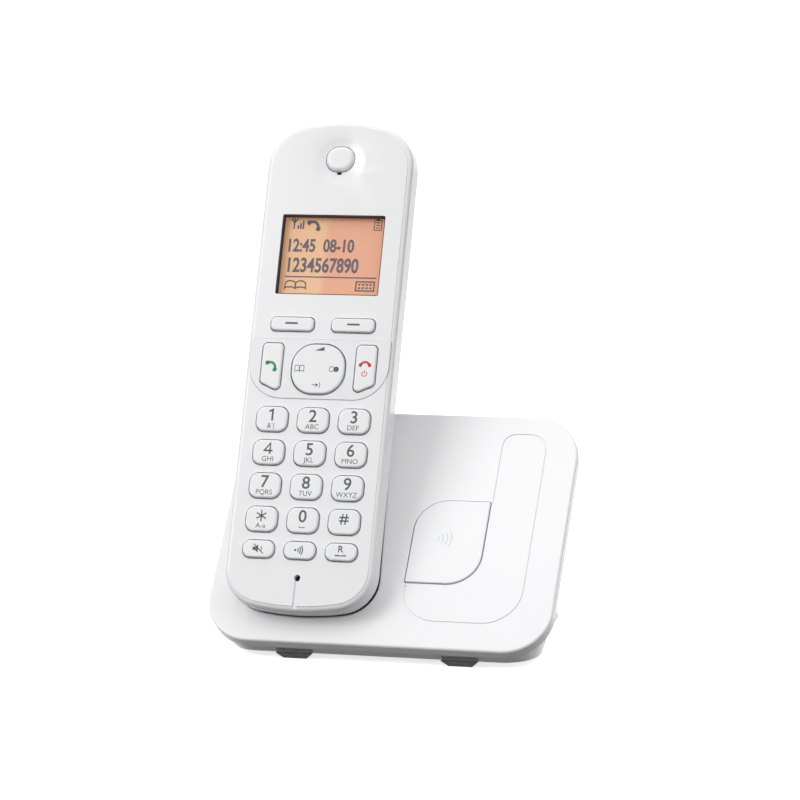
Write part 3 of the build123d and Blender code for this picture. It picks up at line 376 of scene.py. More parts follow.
# A thin clear window: a faint sheen over the display.
PANE = ClearAcrylic(
    "acrylic polished clear", "#FFFFFF", "#FDFDFF", 10.0, (0.06, 0.01), 2.0, 0.2, 1.49
)
# The lit display: warm amber, paler by the lamp at its left and pinker past it.
DISPLAY = Backlight(
    "liquid crystal display amber backlit", "#CA9E76", "#C98D6E", 20.0, (0.4, 0.02), 0.4, 0.5
)
# Dark foam colour: on the rings round the display it is painted shade, the dark line of the shaded
# recess walls between the case and the picture; it also dresses the microphone.
FOAM_AND_PAINTED_SHADE = Finish("foam black and painted recess shade", "#3B2C33", "#33252C", 1.5, (0.8, 0.05), 0.2, 8.0)
# Unpolished acrylic behind the display: milky, with no highlight.
FROSTED = Finish("acrylic frosted light guide", "#E9E6DF", "#E2DED5", 8.0, (0.55, 0.05), 0.3, 4.0)
# Soft grey rubber under the keys and grey rubber feet: dull, so they read as soft.
SILICONE = Finish(
    "silicone rubber moulded pale grey", "#C4C4C7", "#BDBDC1", 6.0, (0.6, 0.05), 0.3, 3.0, 1.41
)
FOOT_RUBBER = Finish(
    "rubber moulded grey foot", "#6A6A6D", "#5F5F62", 4.0, (0.7, 0.06), 0.4, 14.0, 1.5
)
# Inside parts: green boards and dark pressed steel.
LAMINATE = Finish(
    "glass-fibre laminate green solder mask", "#1F5A38", "#174B2E", 3.0, (0.35, 0.06), 0.7, 5.0
)
BASKET = Finish("steel pressed black basket", "#2C2C2F", "#252528", 5.0, (0.4, 0.05), 0.5, 4.0)
# The jacks: dark and half matte, so that their mouths read as deep.
BLACK_NYLON = Finish(
    "nylon moulded black", "#1B1B1D", "#151517", 4.0, (0.42, 0.05), 0.5, 4.0, 1.53
)
# Bare metals: a fine line grain stretches their highlights.
NICKEL = Brushed(
    "phosphor bronze rolled nickel plated", "#CFC8BC", "#C3BBAE", 3.0, (0.24, 0.05), 0.25, 2.0,
    metallic=1.0,
)
GOLD_WIRE = Brushed(
    "bronze wire drawn gold plated", "#E3B85E", "#D7AA50", 2.0, (0.22, 0.04), 0.2, 1.0,
    metallic=1.0,
)
ZINC = Brushed(
    "steel screw rolled zinc plated", "#B9BBBE", "#ADAFB3", 2.0, (0.34, 0.06), 0.3, 3.0,
    metallic=1.0,
)
JACKET = Brushed(
    "steel cell jacket drawn satin", "#C7C8CC", "#BDBEC3", 6.0, (0.32, 0.04), 0.3, 1.5,
    metallic=1.0,
)
# Pad-printed inks: thin, matte and slightly uneven where the pad pressed.
SLATE_INK = Finish("ink pad printed slate", "#46525A", "#4D5961", 1.5, (0.5, 0.05), 0.3, 0.6)
GREEN_INK = Finish("ink pad printed green", "#17905A", "#1E9762", 1.5, (0.5, 0.05), 0.3, 0.6)
RED_INK = Finish("ink pad printed red", "#CF3B42", "#D6454B", 1.5, (0.5, 0.05), 0.3, 0.6)
FAINT_INK = Finish("ink pad printed pale grey", "#C9CACF", "#C3C4CA", 1.5, (0.4, 0.05), 0.3, 0.6)
CRYSTAL_INK = Finish(
    "liquid crystal segments violet brown", "#2E0A22", "#361029", 2.0, (0.45, 0.04), 0.3, 0.4
)


# ---------------------------------------------------------------- flat printed shapes


@dataclass
class Print:
    """A thin print on a flat face, gathered from strokes, outlines and figures.

    Attributes:
        low: Height of its underside over the face, in millimetres.
        high: Height of its top.
    """

    low: float
    high: float
    form: bmesh.types.BMesh = field(default_factory=bmesh.new)

    def outline(self, loop: Sequence[Point]) -> "Print":
        """Adds a filled outline.

        Args:
            loop: Its corners in order, either way round.

        Returns:
            The print itself.
        """
        turn = sum(a[0] * b[1] - b[0] * a[1] for a, b in zip(loop, [*loop[1:], loop[0]]))
        corners = list(loop) if turn > 0 else list(reversed(loop))
        low = [self.form.verts.new((x, y, self.low)) for x, y in corners]
        high = [self.form.verts.new((x, y, self.high)) for x, y in corners]
        self.form.faces.new(high)
        self.form.faces.new(list(reversed(low)))
        count = len(corners)
        for i in range(count):
            j = (i + 1) % count
            self.form.faces.new((low[i], low[j], high[j], high[i]))
        return self

    def box(self, x: float, y: float, width: float, height: float) -> "Print":
        """Adds a rectangle by its middle and size."""
        w, h = width / 2, height / 2
        return self.outline([(x - w, y - h), (x + w, y - h), (x + w, y + h), (x - w, y + h)])

    def disc(self, x: float, y: float, radius: float, sides: int = 20) -> "Print":
        """Adds a filled round dot."""
        steps = [2 * pi * i / sides for i in range(sides)]
        return self.outline([(x + radius * cos(a), y + radius * sin(a)) for a in steps])

    def stroke(self, path: Sequence[Point], width: float, closed: bool = False) -> "Print":
        """Adds a line of even width along a path.

        Args:
            path: The points that it follows.
            width: Its width.
            closed: Whether the last point joins the first.

        Returns:
            The print itself.
        """
        points = [Vector(p) for p in path]
        count = len(points)
        left, right = [], []
        for i, here in enumerate(points):
            before = points[(i - 1) % count] if closed or i else here
            after = points[(i + 1) % count] if closed or i < count - 1 else here
            into = (here - before).normalized() if here != before else (after - here).normalized()
            out = (after - here).normalized() if here != after else into
            side = Vector((-(into + out).y, (into + out).x)).normalized()
            reach = width / 2 / max(0.5, side.dot(Vector((-into.y, into.x))))
            left.append(here + side * reach)
            right.append(here - side * reach)
        rings = [
            [
                self.form.verts.new((*right[i], self.low)),
                self.form.verts.new((*left[i], self.low)),
                self.form.verts.new((*left[i], self.high)),
                self.form.verts.new((*right[i], self.high)),
            ]
            for i in range(count)
        ]
        pairs = list(zip(rings, rings[1:]))
        if closed:
            pairs.append((rings[-1], rings[0]))
        else:
            self.form.faces.new(list(reversed(rings[0])))
            self.form.faces.new(rings[-1])
        for a, b in pairs:
            for i in range(4):
                j = (i + 1) % 4
                self.form.faces.new((a[i], a[j], b[j], b[i]))
        return self

    def arc(
        self, x: float, y: float, radius: float, start: float, end: float, width: float
    ) -> "Print":
        """Adds an arc, by its middle, radius and end angles in degrees."""
        whole = abs(end - start) >= 360
        steps = max(6, int(abs(end - start) / 12))
        marks = range(steps) if whole else range(steps + 1)
        turns = [radians(start + (end - start) * i / steps) for i in marks]
        path = [(x + radius * cos(a), y + radius * sin(a)) for a in turns]
        return self.stroke(path, width, closed=whole)

    def figures(
        self, words: str, x: float, y: float, height: float, width: float = 0.0, bold: float = 0.0
    ) -> "Print":
        """Adds figures or letters, centred.

        Args:
            words: What to print.
            x: Their middle, across.
            y: Their middle, up.
            height: Height of a capital or figure.
            width: How wide they all are together; zero leaves the typeface's own width.
            bold: How much each stroke is thickened, in millimetres.

        Returns:
            The print itself.
        """
        type_curve = bpy.data.curves.new("figures", "FONT")
        type_curve.body = words
        type_curve.align_x = "CENTER"
        type_curve.resolution_u = 4
        scale = height / 0.69        # a capital is 0.69 of the typeface's body
        type_curve.offset = bold / scale
        type_curve.extrude = (self.high - self.low) / 2 / scale
        mesh = baked_mesh(self._as_object(type_curve))
        across = [v.co.x for v in mesh.vertices]
        wide = width / (max(across) - min(across)) if width else scale
        mesh.transform(Matrix.Diagonal((wide, scale, scale, 1.0)))
        middle = wide * (min(across) + max(across)) / 2
        mesh.transform(
            Matrix.Translation((x - middle, y - height / 2, (self.low + self.high) / 2))
        )
        self.form.from_mesh(mesh)
        bpy.data.meshes.remove(mesh)
        bpy.data.curves.remove(type_curve)
        return self

    @staticmethod
    def _as_object(curve: bpy.types.Curve) -> bpy.types.Object:
        """Puts a curve in the scene for a moment."""
        thing = bpy.data.objects.new("figures", curve)
        bpy.context.scene.collection.objects.link(thing)
        return thing

    def moved(self, x: float, y: float) -> "Print":
        """Moves everything that is in the print so far."""
        bmesh.ops.translate(self.form, verts=self.form.verts, vec=(x, y, 0.0))
        return self

    def press(self, name: str, place: LocalFrame, finish: Finish, body: str) -> bpy.types.Object:
        """Turns the print to a finished piece.

        Args:
            name: The piece's name.
            place: The face that it is printed on.
            finish: Its ink.
            body: The body that it rides on.

        Returns:
            The piece.
        """
        bmesh.ops.remove_doubles(self.form, verts=self.form.verts, dist=1e-5)
        bmesh.ops.recalc_face_normals(self.form, faces=self.form.faces)
        mesh = bpy.data.meshes.new(name)
        self.form.to_mesh(mesh)
        self.form.free()
        mesh.materials.clear()
        mesh.materials.append(finish.make())
        piece = link_object(name, place.place(mesh))
        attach(piece, body)
        LOG.info("%s printed on %s", name, body)
        return piece


# ---------------------------------------------------------------- repeating pieces


class NumberSocket(Enum):
    """The kinds of number that a tree takes."""

    LENGTH = "NodeSocketFloat"
    COUNT = "NodeSocketInt"


class RepeatTree:
    """A Geometry Nodes tree with named inputs, which repeats a small shape."""

    def __init__(self, name: str, sizes: dict[str, NumberSocket]) -> None:
        """Starts the tree.

        Args:
            name: The tree's name.
            sizes: Its inputs, by name.
        """
        self.tree = bpy.data.node_groups.new(name, "GeometryNodeTree")
        face = self.tree.interface
        for label, kind in sizes.items():
            face.new_socket(label, in_out="INPUT", socket_type=kind.value)
        face.new_socket("Geometry", in_out="OUTPUT", socket_type="NodeSocketGeometry")
        self.source = add_node(self.tree, "NodeGroupInput")

    def size(self, label: str) -> bpy.types.NodeSocket:
        """Gives one of the named inputs."""
        return self.source.outputs[label]

    def node(self, kind: str, inputs: dict | None = None, **settings: object) -> bpy.types.Node:
        """Adds one node to the tree."""
        return add_node(self.tree, kind, inputs, **settings)

    def sum(self, first: object, operation: str, second: object) -> bpy.types.NodeSocket:
        """Works out one number from two."""
        return self.node("ShaderNodeMath", {0: first, 1: second}, operation=operation).outputs[0]

    def close(self, shapes: bpy.types.NodeSocket, finish: Finish) -> None:
        """Ends the tree in real, dressed geometry.

        Args:
            shapes: The repeated instances.
            finish: What they are made of.
        """
        real = self.node("GeometryNodeRealizeInstances", {0: shapes}).outputs[0]
        dressed = self.node(
            "GeometryNodeSetMaterial", {"Geometry": real, "Material": finish.make()}
        ).outputs[0]
        self.node("NodeGroupOutput", {0: dressed})

    def grow(
        self, name: str, values: dict[str, float], place: LocalFrame, body: str
    ) -> bpy.types.Object:
        """Runs the tree and keeps the result as a plain piece.

        Args:
            name: The piece's name.
            values: A number for each named input, in millimetres or a count.
            place: The frame that it is made in.
            body: The body that it rides on.

        Returns:
            The piece.
        """
        carrier = link_object(name + "_carrier", bpy.data.meshes.new(name + "_carrier"))
        modifier = carrier.modifiers.new("repeat", "NODES")
        modifier.node_group = self.tree
        for item in self.tree.interface.items_tree:
            if item.in_out == "INPUT":
                modifier[item.identifier] = values[item.name]
        piece = link_object(name, place.place(baked_mesh(carrier)))
        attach(piece, body)
        LOG.info("%s grown on %s", name, body)
        return piece


def dot_fan_tree(finish: Finish) -> RepeatTree:
    """Builds the tree for a fan of dots: arcs one outside the other, each with more dots.

    Args:
        finish: What the dots are printed in.

    Returns:
        The tree.
    """
    count, length = NumberSocket.COUNT, NumberSocket.LENGTH
    fan = RepeatTree(
        "dot fan",
        {"Dots": count, "Radius": length, "Spread": length, "Dot": length, "Height": length},
    )
    line = fan.node("GeometryNodeMeshLine", {"Count": fan.size("Dots")}, mode="OFFSET")
    last = fan.sum(fan.size("Dots"), "SUBTRACT", 1.0)
    share = fan.sum(fan.node("GeometryNodeInputIndex").outputs[0], "DIVIDE", last)
    middle = fan.sum(share, "SUBTRACT", 0.5)
    angle = fan.sum(middle, "MULTIPLY", fan.size("Spread"))
    across = fan.sum(fan.sum(angle, "COSINE", 0.0), "MULTIPLY", fan.size("Radius"))
    along = fan.sum(fan.sum(angle, "SINE", 0.0), "MULTIPLY", fan.size("Radius"))
    spot = fan.node(
        "ShaderNodeCombineXYZ", {"X": across, "Y": along, "Z": fan.size("Height")}
    ).outputs[0]
    set_spots = fan.node(
        "GeometryNodeSetPosition", {"Geometry": line.outputs[0], "Position": spot}
    ).outputs[0]
    dot = fan.node(
        "GeometryNodeMeshCylinder", {"Vertices": 12, "Radius": fan.size("Dot"), "Depth": 0.04}
    ).outputs[0]
    dots = fan.node("GeometryNodeInstanceOnPoints", {"Points": set_spots, "Instance": dot})
    fan.close(dots.outputs[0], finish)
    return fan


def row_tree(name: str, finish: Finish) -> RepeatTree:
    """Builds the tree for a grid of equal small blocks.

    Args:
        name: The tree's name.
        finish: What the blocks are made of.

    Returns:
        The tree.
    """
    count, length = NumberSocket.COUNT, NumberSocket.LENGTH
    row = RepeatTree(
        name,
        {
            "Columns": count, "Rows": count, "Pitch X": length, "Pitch Y": length,
            "Width": length, "Length": length, "Thickness": length,
            "X": length, "Y": length, "Z": length,
        },
    )
    spans = [
        row.sum(row.sum(row.size(n), "SUBTRACT", 1.0), "MULTIPLY", row.size(p))
        for n, p in (("Columns", "Pitch X"), ("Rows", "Pitch Y"))
    ]
    grid = row.node(
        "GeometryNodeMeshGrid",
        {
            "Size X": spans[0], "Size Y": spans[1],
            "Vertices X": row.size("Columns"), "Vertices Y": row.size("Rows"),
        },
    ).outputs[0]
    points = row.node("GeometryNodeMeshToPoints", {"Mesh": grid}).outputs[0]
    size = row.node(
        "ShaderNodeCombineXYZ",
        {"X": row.size("Width"), "Y": row.size("Length"), "Z": row.size("Thickness")},
    ).outputs[0]
    block = row.node("GeometryNodeMeshCube", {"Size": size}).outputs[0]
    blocks = row.node("GeometryNodeInstanceOnPoints", {"Points": points, "Instance": block})
    shift = row.node(
        "ShaderNodeCombineXYZ", {"X": row.size("X"), "Y": row.size("Y"), "Z": row.size("Z")}
    ).outputs[0]
    moved = row.node(
        "GeometryNodeTransform", {"Geometry": blocks.outputs[0], "Translation": shift}
    ).outputs[0]
    row.close(moved, finish)
    return row


# ---------------------------------------------------------------- mouldings from the frame


@dataclass
class Mouldings:
    """Dresses the frame's own nodes, and gives the curved ones a smooth surface.

    Attributes:
        smooth: Node to finish, for the nodes that are seen and curved.
        plain: Node to finish, for the rest.
        sharp_deg: Edges that turn more than this stay crisp.
    """

    smooth: dict[str, Finish]
    plain: dict[str, Finish]
    sharp_deg: float = 35.0

    def polish(self, node: str, finish: Finish) -> bpy.types.Object:
        """Makes a smooth-shaded copy of one node.

        Args:
            node: The node's name.
            finish: What it is made of.

        Returns:
            The piece that stands for the node.
        """
        source = frame["nodes"][node]
        form = bmesh.new()
        form.from_mesh(source.data)
        bmesh.ops.remove_doubles(form, verts=form.verts, dist=2e-6)
        for face in form.faces:
            face.smooth = True
        for edge in form.edges:
            joined = len(edge.link_faces) == 2
            edge.smooth = joined and edge.calc_face_angle(pi) < radians(self.sharp_deg)
        mesh = bpy.data.meshes.new(node)
        form.to_mesh(mesh)
        form.free()
        carrier = link_object(node + "_carrier", mesh)
        even = carrier.modifiers.new("even normals", "WEIGHTED_NORMAL")
        even.keep_sharp = True
        even.weight = 100
        surface = baked_mesh(carrier)
        surface.materials.clear()
        surface.materials.append(finish.make())
        piece = link_object(node + "_surface", surface)
        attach(piece, source["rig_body"])
        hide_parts(node)
        LOG.info("%s smoothed", node)
        return piece

    def build(self) -> None:
        """Finishes every node of the frame."""
        for node, finish in self.smooth.items():
            self.polish(node, finish)
        for node, finish in self.plain.items():
            mesh = frame["nodes"][node].data
            mesh.materials.clear()
            mesh.materials.append(finish.make())
            LOG.info("%s dressed", node)


# ---------------------------------------------------------------- printed keys


@dataclass
class KeyPrints:
    """What is printed on the keys and on the handset's face.

    Attributes:
        face: The handset's face.
        pitch: Key spacing, across and up.
        top_row: Middle of the first row of figures.
        function_row: Middle of the lowest row.
        top: Height of a key's top over the face.
        figure: Height of a figure, and of the small letters under it.
        lift: How far a figure stands above its key's middle, and the letters below it.
    """

    face: LocalFrame
    pitch: Point = (13.6, 10.87)
    top_row: float = 61.6
    function_row: float = 19.3
    top: float = 0.9
    figure: Point = (3.87, 1.6)
    lift: Point = (1.3, 2.2)

    SIGNS: ClassVar[dict[str, list[tuple[Loop, float]]]] = {
        "1": [([(-0.95, 2.35), (0.2, 2.95), (0.2, -0.63)], 0.62)],
        "4": [([(0.55, -0.63), (0.55, 2.85), (-1.3, 0.4), (1.4, 0.4)], 0.58)],
        "#": [
            ([(-1.6, 1.35), (1.6, 1.35)], 0.46), ([(-1.6, 0.25), (1.6, 0.25)], 0.46),
            ([(-0.85, -0.9), (-0.4, 2.5)], 0.46), ([(0.4, -0.9), (0.85, 2.5)], 0.46),
        ],
        "*": [
            ([(0.0, -0.9), (0.0, 2.8)], 0.42), ([(-1.6, 0.03), (1.6, 1.87)], 0.42),
            ([(-1.6, 1.87), (1.6, 0.03)], 0.42),
        ],
    }

    def blank(self) -> Print:
        """Starts a print on a key's top."""
        return Print(self.top - 0.02, self.top + 0.02)

    def number_keys(self) -> None:
        """Prints the twelve number keys."""
        rows = [
            [("1", "1", "&'("), ("2", "2", "ABC"), ("3", "3", "DEF")],
            [("4", "4", "GHI"), ("5", "5", "JKL"), ("6", "6", "MNO")],
            [("7", "7", "PQRS"), ("8", "8", "TUV"), ("9", "9", "WXYZ")],
            [("star", "*", "A-a"), ("0", "0", ""), ("hash", "#", "")],
        ]
        for row, keys in enumerate(rows):
            for column, (name, figure, letters) in enumerate(keys):
                x = (column - 1) * self.pitch[0]
                y = self.top_row - row * self.pitch[1]
                ink = self.blank()
                if figure in self.SIGNS:
                    for path, width in self.SIGNS[figure]:
                        ink.stroke([(x + a, y + b) for a, b in path], width)
                else:
                    ink.figures(figure, x, y + self.lift[0], self.figure[0], bold=0.07)
                if letters:
                    ink.figures(letters, x, y - self.lift[1], self.figure[1])
                if figure == "0":
                    marks = [(-0.8, 0.35), (-0.8, -0.05), (0.8, -0.05), (0.8, 0.35)]
                    ink.stroke([(x + a, y - 2.35 + b) for a, b in marks], 0.22)
                ink.press(f"print_key_{name}", self.face, SLATE_INK, f"key_{name}")

    def function_keys(self) -> None:
        """Prints the three keys of the lowest row."""
        y, step = self.function_row, self.pitch[0]
        mute = self.blank()
        mute.outline([(-1.8, -0.55), (-0.95, -0.55), (0.0, -1.3), (0.0, 1.3), (-0.95, 0.55),
                      (-1.8, 0.55)])
        mute.arc(0.1, 0.0, 1.05, -45, 45, 0.28)
        mute.stroke([(-1.55, 1.5), (1.8, -1.5)], 0.32)
        mute.moved(-step, y).press("print_key_mute", self.face, SLATE_INK, "key_mute")
        intercom = self.blank()
        intercom.disc(-1.5, 0.0, 0.38)
        for radius in (1.0, 1.7, 2.4):
            intercom.arc(-1.5, 0.0, radius, -38, 38, 0.34)
        intercom.moved(0.2, y).press("print_key_intercom", self.face, SLATE_INK, "key_intercom")
        recall = self.blank()
        recall.figures("R", 0.0, 0.95, 2.1, bold=0.05)
        recall.stroke([(-1.8, -1.25), (1.8, -1.25)], 0.32)
        recall.arc(-1.1, -0.7, 0.5, 200, 340, 0.28).arc(1.1, -0.7, 0.5, 200, 340, 0.28)
        recall.moved(step, y).press("print_key_recall", self.face, SLATE_INK, "key_recall")

    def soft_keys(self) -> None:
        """Prints the dashes on the two keys under the display."""
        for hand, x in (("left", -10.3), ("right", 10.3)):
            ink = self.blank().box(x, 93.3, 4.1, 0.62)
            ink.press(f"print_soft_key_{hand}", self.face, SLATE_INK, f"soft_key_{hand}")

    @staticmethod
    def receiver(ink: Print, x: float, y: float, size: float, turn: float) -> None:
        """Draws a telephone receiver: a bowed grip with two cups.

        Args:
            ink: The print that it goes in.
            x: Its middle, across.
            y: Its middle, up.
            size: Its length.
            turn: How far it is turned, in degrees.
        """
        def spun(points: Iterable[Point]) -> Loop:
            """Turns and sizes points of the drawing."""
            c, s = cos(radians(turn)) * size, sin(radians(turn)) * size
            return [(x + a * c - b * s, y + a * s + b * c) for a, b in points]

        bow = [(0.42 * sin(a), 0.5 * cos(a) - 0.36) for a in
               (radians(d) for d in range(-66, 67, 12))]
        ink.stroke(spun(bow), 0.19 * size)
        for side in (-1, 1):
            cup = [(0.22, -0.02), (0.27, -0.27), (0.46, -0.27), (0.54, -0.12), (0.45, 0.06)]
            ink.outline(spun((side * a, b) for a, b in cup))

    def call_keys(self) -> None:
        """Prints the green and red receivers and the power ring."""
        talk = self.blank()
        self.receiver(talk, -15.3, 79.3, 4.6, -40)
        talk.press("print_talk_key", self.face, GREEN_INK, "talk_key")
        off = self.blank()
        self.receiver(off, 15.5, 80.5, 4.0, 0)
        off.arc(15.5, 77.2, 0.8, 128, 412, 0.28)
        off.stroke([(15.5, 78.3), (15.5, 77.3)], 0.28)
        off.press("print_off_key", self.face, RED_INK, "off_key")

    def nav_key(self) -> None:
        """Prints the four signs on the rocking key."""
        middle = 78.4
        ink = self.blank()
        ink.outline([(-1.6, middle + 6.0), (1.6, middle + 6.0), (1.6, middle + 7.3)])
        for side in (-1, 1):
            leaf = [(0.05, -0.95), (0.35, -0.75), (1.3, -0.85), (1.5, -1.0), (1.5, 0.85),
                    (1.0, 1.0), (0.35, 0.95), (0.05, 0.7)]
            ink.stroke([(-6.1 + side * a, middle + b) for a, b in leaf], 0.2, closed=True)
        ink.arc(4.6, middle, 0.82, 0, 360, 0.2)
        ink.disc(6.1, middle, 0.9)
        ink.stroke([(-1.5, middle - 5.3), (0.1, middle - 5.3)], 0.26)
        ink.outline([(-0.2, middle - 4.7), (-0.2, middle - 5.9), (0.7, middle - 5.3)])
        ink.arc(-0.1, middle - 5.3, 1.35, -40, 40, 0.22)
        ink.press("print_nav_key", self.face, SLATE_INK, "nav_key")

    def build(self) -> None:
        """Prints every key."""
        self.number_keys()
        self.function_keys()
        self.soft_keys()
        self.call_keys()
        self.nav_key()


# ---------------------------------------------------------------- display


@dataclass
class DisplayImage:
    """The signs and figures that show on the display.

    Attributes:
        face: The handset's face.
        corner: Upper left corner of the opening.
        shift: From there to the upper left corner of the lit field.
        depth: The display's front behind the face, and where its segments end.
        height: Height of the opening.
    """

    face: LocalFrame
    corner: Point = (-17.2, 130.0)
    shift: Point = (-0.7, 0.8)
    depth: Point = (-3.01, -2.95)
    height: float = 26.8

    def at(self, x: float, y: float) -> Point:
        """Turns millimetres right and down from the corner to a place on the face."""
        return self.corner[0] + self.shift[0] + x, self.corner[1] + self.shift[1] - y

    def blank(self) -> Print:
        """Starts a print in the display's front."""
        return Print(*self.depth)

    def figures(self) -> None:
        """Shows the time and date, and the number line under them."""
        ink = self.blank()
        ink.figures("12:45  08-10", *self.at(13.7, 10.3), 4.1, 22.0, 0.16)
        ink.figures("1234567890", *self.at(14.95, 16.9), 4.6, 23.7, 0.17)
        ink.stroke([self.at(2.5, 20.9), self.at(33.2, 20.9)], 0.42)
        ink.press("display_figures", self.face, CRYSTAL_INK, "handset")

    def status(self) -> None:
        """Shows the aerial, the receiver and the battery in the top line."""
        ink = self.blank()
        x, y = self.at(3.9, 2.9)
        ink.stroke([(x - 1.1, y + 1.6), (x, y + 0.1), (x + 1.1, y + 1.6)], 0.45)
        ink.stroke([(x, y + 1.7), (x, y - 1.9)], 0.48)
        for i in range(3):
            height = 1.2 + 0.75 * i
            ink.box(x + 1.35 + 0.85 * i, y - 1.9 + height / 2, 0.58, height)
        KeyPrints.receiver(ink, *self.at(10.8, 3.2), 5.0, -33)
        x, y = self.at(32.0, 3.1)
        frame_line = [(x - 1.2, y - 1.7), (x + 1.2, y - 1.7), (x + 1.2, y + 1.5),
                      (x - 1.2, y + 1.5)]
        ink.stroke(frame_line, 0.32, closed=True).box(x, y + 1.8, 1.2, 0.5)
        for i in range(3):
            ink.box(x, y - 1.0 + 0.9 * i, 1.2, 0.38)
        ink.press("display_status", self.face, CRYSTAL_INK, "handset")

    def menu(self) -> None:
        """Shows the open book and the keypad in the bottom line."""
        ink = self.blank()
        x, y = self.at(6.3, 23.7)
        for side in (-1, 1):
            page = [(0.0, -1.1), (1.0, -0.65), (3.2, -0.75), (3.6, -1.25), (3.3, 0.9),
                    (2.2, 1.45), (0.9, 1.35), (0.0, 0.75)]
            ink.stroke([(x + side * a, y + b) for a, b in page], 0.45, closed=True)
        x, y = self.at(29.6, 23.7)
        case = [(x - 3.0, y - 1.5), (x + 3.0, y - 1.5), (x + 3.0, y + 1.5), (x - 3.0, y + 1.5)]
        ink.stroke(case, 0.46, closed=True)
        ink.press("display_menu", self.face, CRYSTAL_INK, "handset")
        sizes = {
            "Columns": 4, "Rows": 2, "Pitch X": 1.25, "Pitch Y": 1.15, "Width": 0.75,
            "Length": 0.6, "Thickness": 0.05, "X": x, "Y": y, "Z": sum(self.depth) / 2,
        }
        tree = row_tree("keypad sign", CRYSTAL_INK)
        tree.grow("display_keypad_sign", sizes, self.face, "handset")

    def painted_recess_shade(self) -> None:
        """Lines the opening's walls with a dark sheet and prints a dark border on the pane behind
        it, both painted shade for the shaded walls of the recess.
        """
        left, high = self.corner
        # Both dark rings are painted shade: they darken the recess round the display, where only
        # shade falls.
        for name, reach, (low, top) in (
            ("display_recess_painted_shade", 0.17, (-1.85, -0.3)), ("window_painted_shade_border", 0.24, (-1.895, -1.86))
        ):
            x, up, down = -left - reach, high - reach, high - self.height + reach
            loop = [(-x, down), (x, down), (x, up), (-x, up)]
            ring = Print(low, top).stroke(loop, 2 * reach, closed=True)
            ring.press(name, self.face, FOAM_AND_PAINTED_SHADE, "handset")

    def build(self) -> None:
        """Shows everything on the display."""
        self.painted_recess_shade()
        self.figures()
        self.status()
        self.menu()


# ---------------------------------------------------------------- base details


@dataclass
class BaseDetails:
    """What the frame leaves to this file on the base: the locator sign and the jack's wires.

    Attributes:
        top: The base's sloping top.
        sign: Middle of the locator sign, on the top.
        button_top: How far the button stands proud.
        wires: How many contact wires the line jack has, and their pitch.
    """

    top: LocalFrame
    sign: Point = (17.75, 38.9)
    button_top: float = 0.5
    wires: int = 4
    wire_pitch: float = 1.27

    def locator_sign(self) -> None:
        """Prints arcs of dots that spread from one corner, as a call does."""
        tree = dot_fan_tree(FAINT_INK)
        x, y = self.sign
        spot = LocalFrame(self.top.matrix @ Vector((x - 3.4, y, 0.0)), self.top.up)
        for ring in range(4):
            sizes = {
                "Dots": 3 + ring * 2, "Radius": 1.4 + 1.4 * ring, "Spread": radians(52.0),
                "Dot": 0.23, "Height": self.button_top,
            }
            tree.grow(f"locator_sign_{ring + 1}", sizes, spot, "locator_button")

    def jack_wires(self) -> None:
        """Lays the contact wires in the line jack's mouth."""
        low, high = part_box("line_jack")
        middle = (low + high) / 2
        place = LocalFrame(Vector((middle.x, high.y, middle.z)), Vector((0.0, 1.0, 0.0)))
        sizes = {
            "Columns": self.wires, "Rows": 1, "Pitch X": self.wire_pitch, "Pitch Y": 1.0,
            "Width": 0.45, "Length": 8.0, "Thickness": 0.35, "X": 0.0, "Y": -7.5, "Z": 2.9,
        }
        row_tree("jack wires", GOLD_WIRE).grow("line_jack_wires", sizes, place, "base")

    def power_pin(self) -> None:
        """Sleeves the power jack's pin in metal."""
        low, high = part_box("power_jack")
        middle = (low + high) / 2
        form = bmesh.new()
        bmesh.ops.create_cone(
            form, cap_ends=True, segments=24, radius1=1.0, radius2=1.0, depth=8.6
        )
        bmesh.ops.bevel(
            form, geom=[e for e in form.edges if abs(e.verts[0].co.z - e.verts[1].co.z) < 0.1],
            offset=0.25, segments=2, affect="EDGES",
        )
        mesh = bpy.data.meshes.new("power_jack_pin")
        form.to_mesh(mesh)
        form.free()
        turn = Matrix.Rotation(radians(90.0), 4, "X") @ Matrix.Scale(MM, 4)
        place = Vector((middle.x, high.y - 5.3 * MM, middle.z))
        mesh.transform(Matrix.Translation(place) @ turn)
        mesh.materials.append(NICKEL.make())
        pin = link_object("power_jack_pin", mesh)
        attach(pin, "base")
        LOG.info("power_jack_pin sleeved")

    def build(self) -> None:
        """Adds every detail of the base."""
        self.locator_sign()
        self.jack_wires()
        self.power_pin()


# ---------------------------------------------------------------- studio


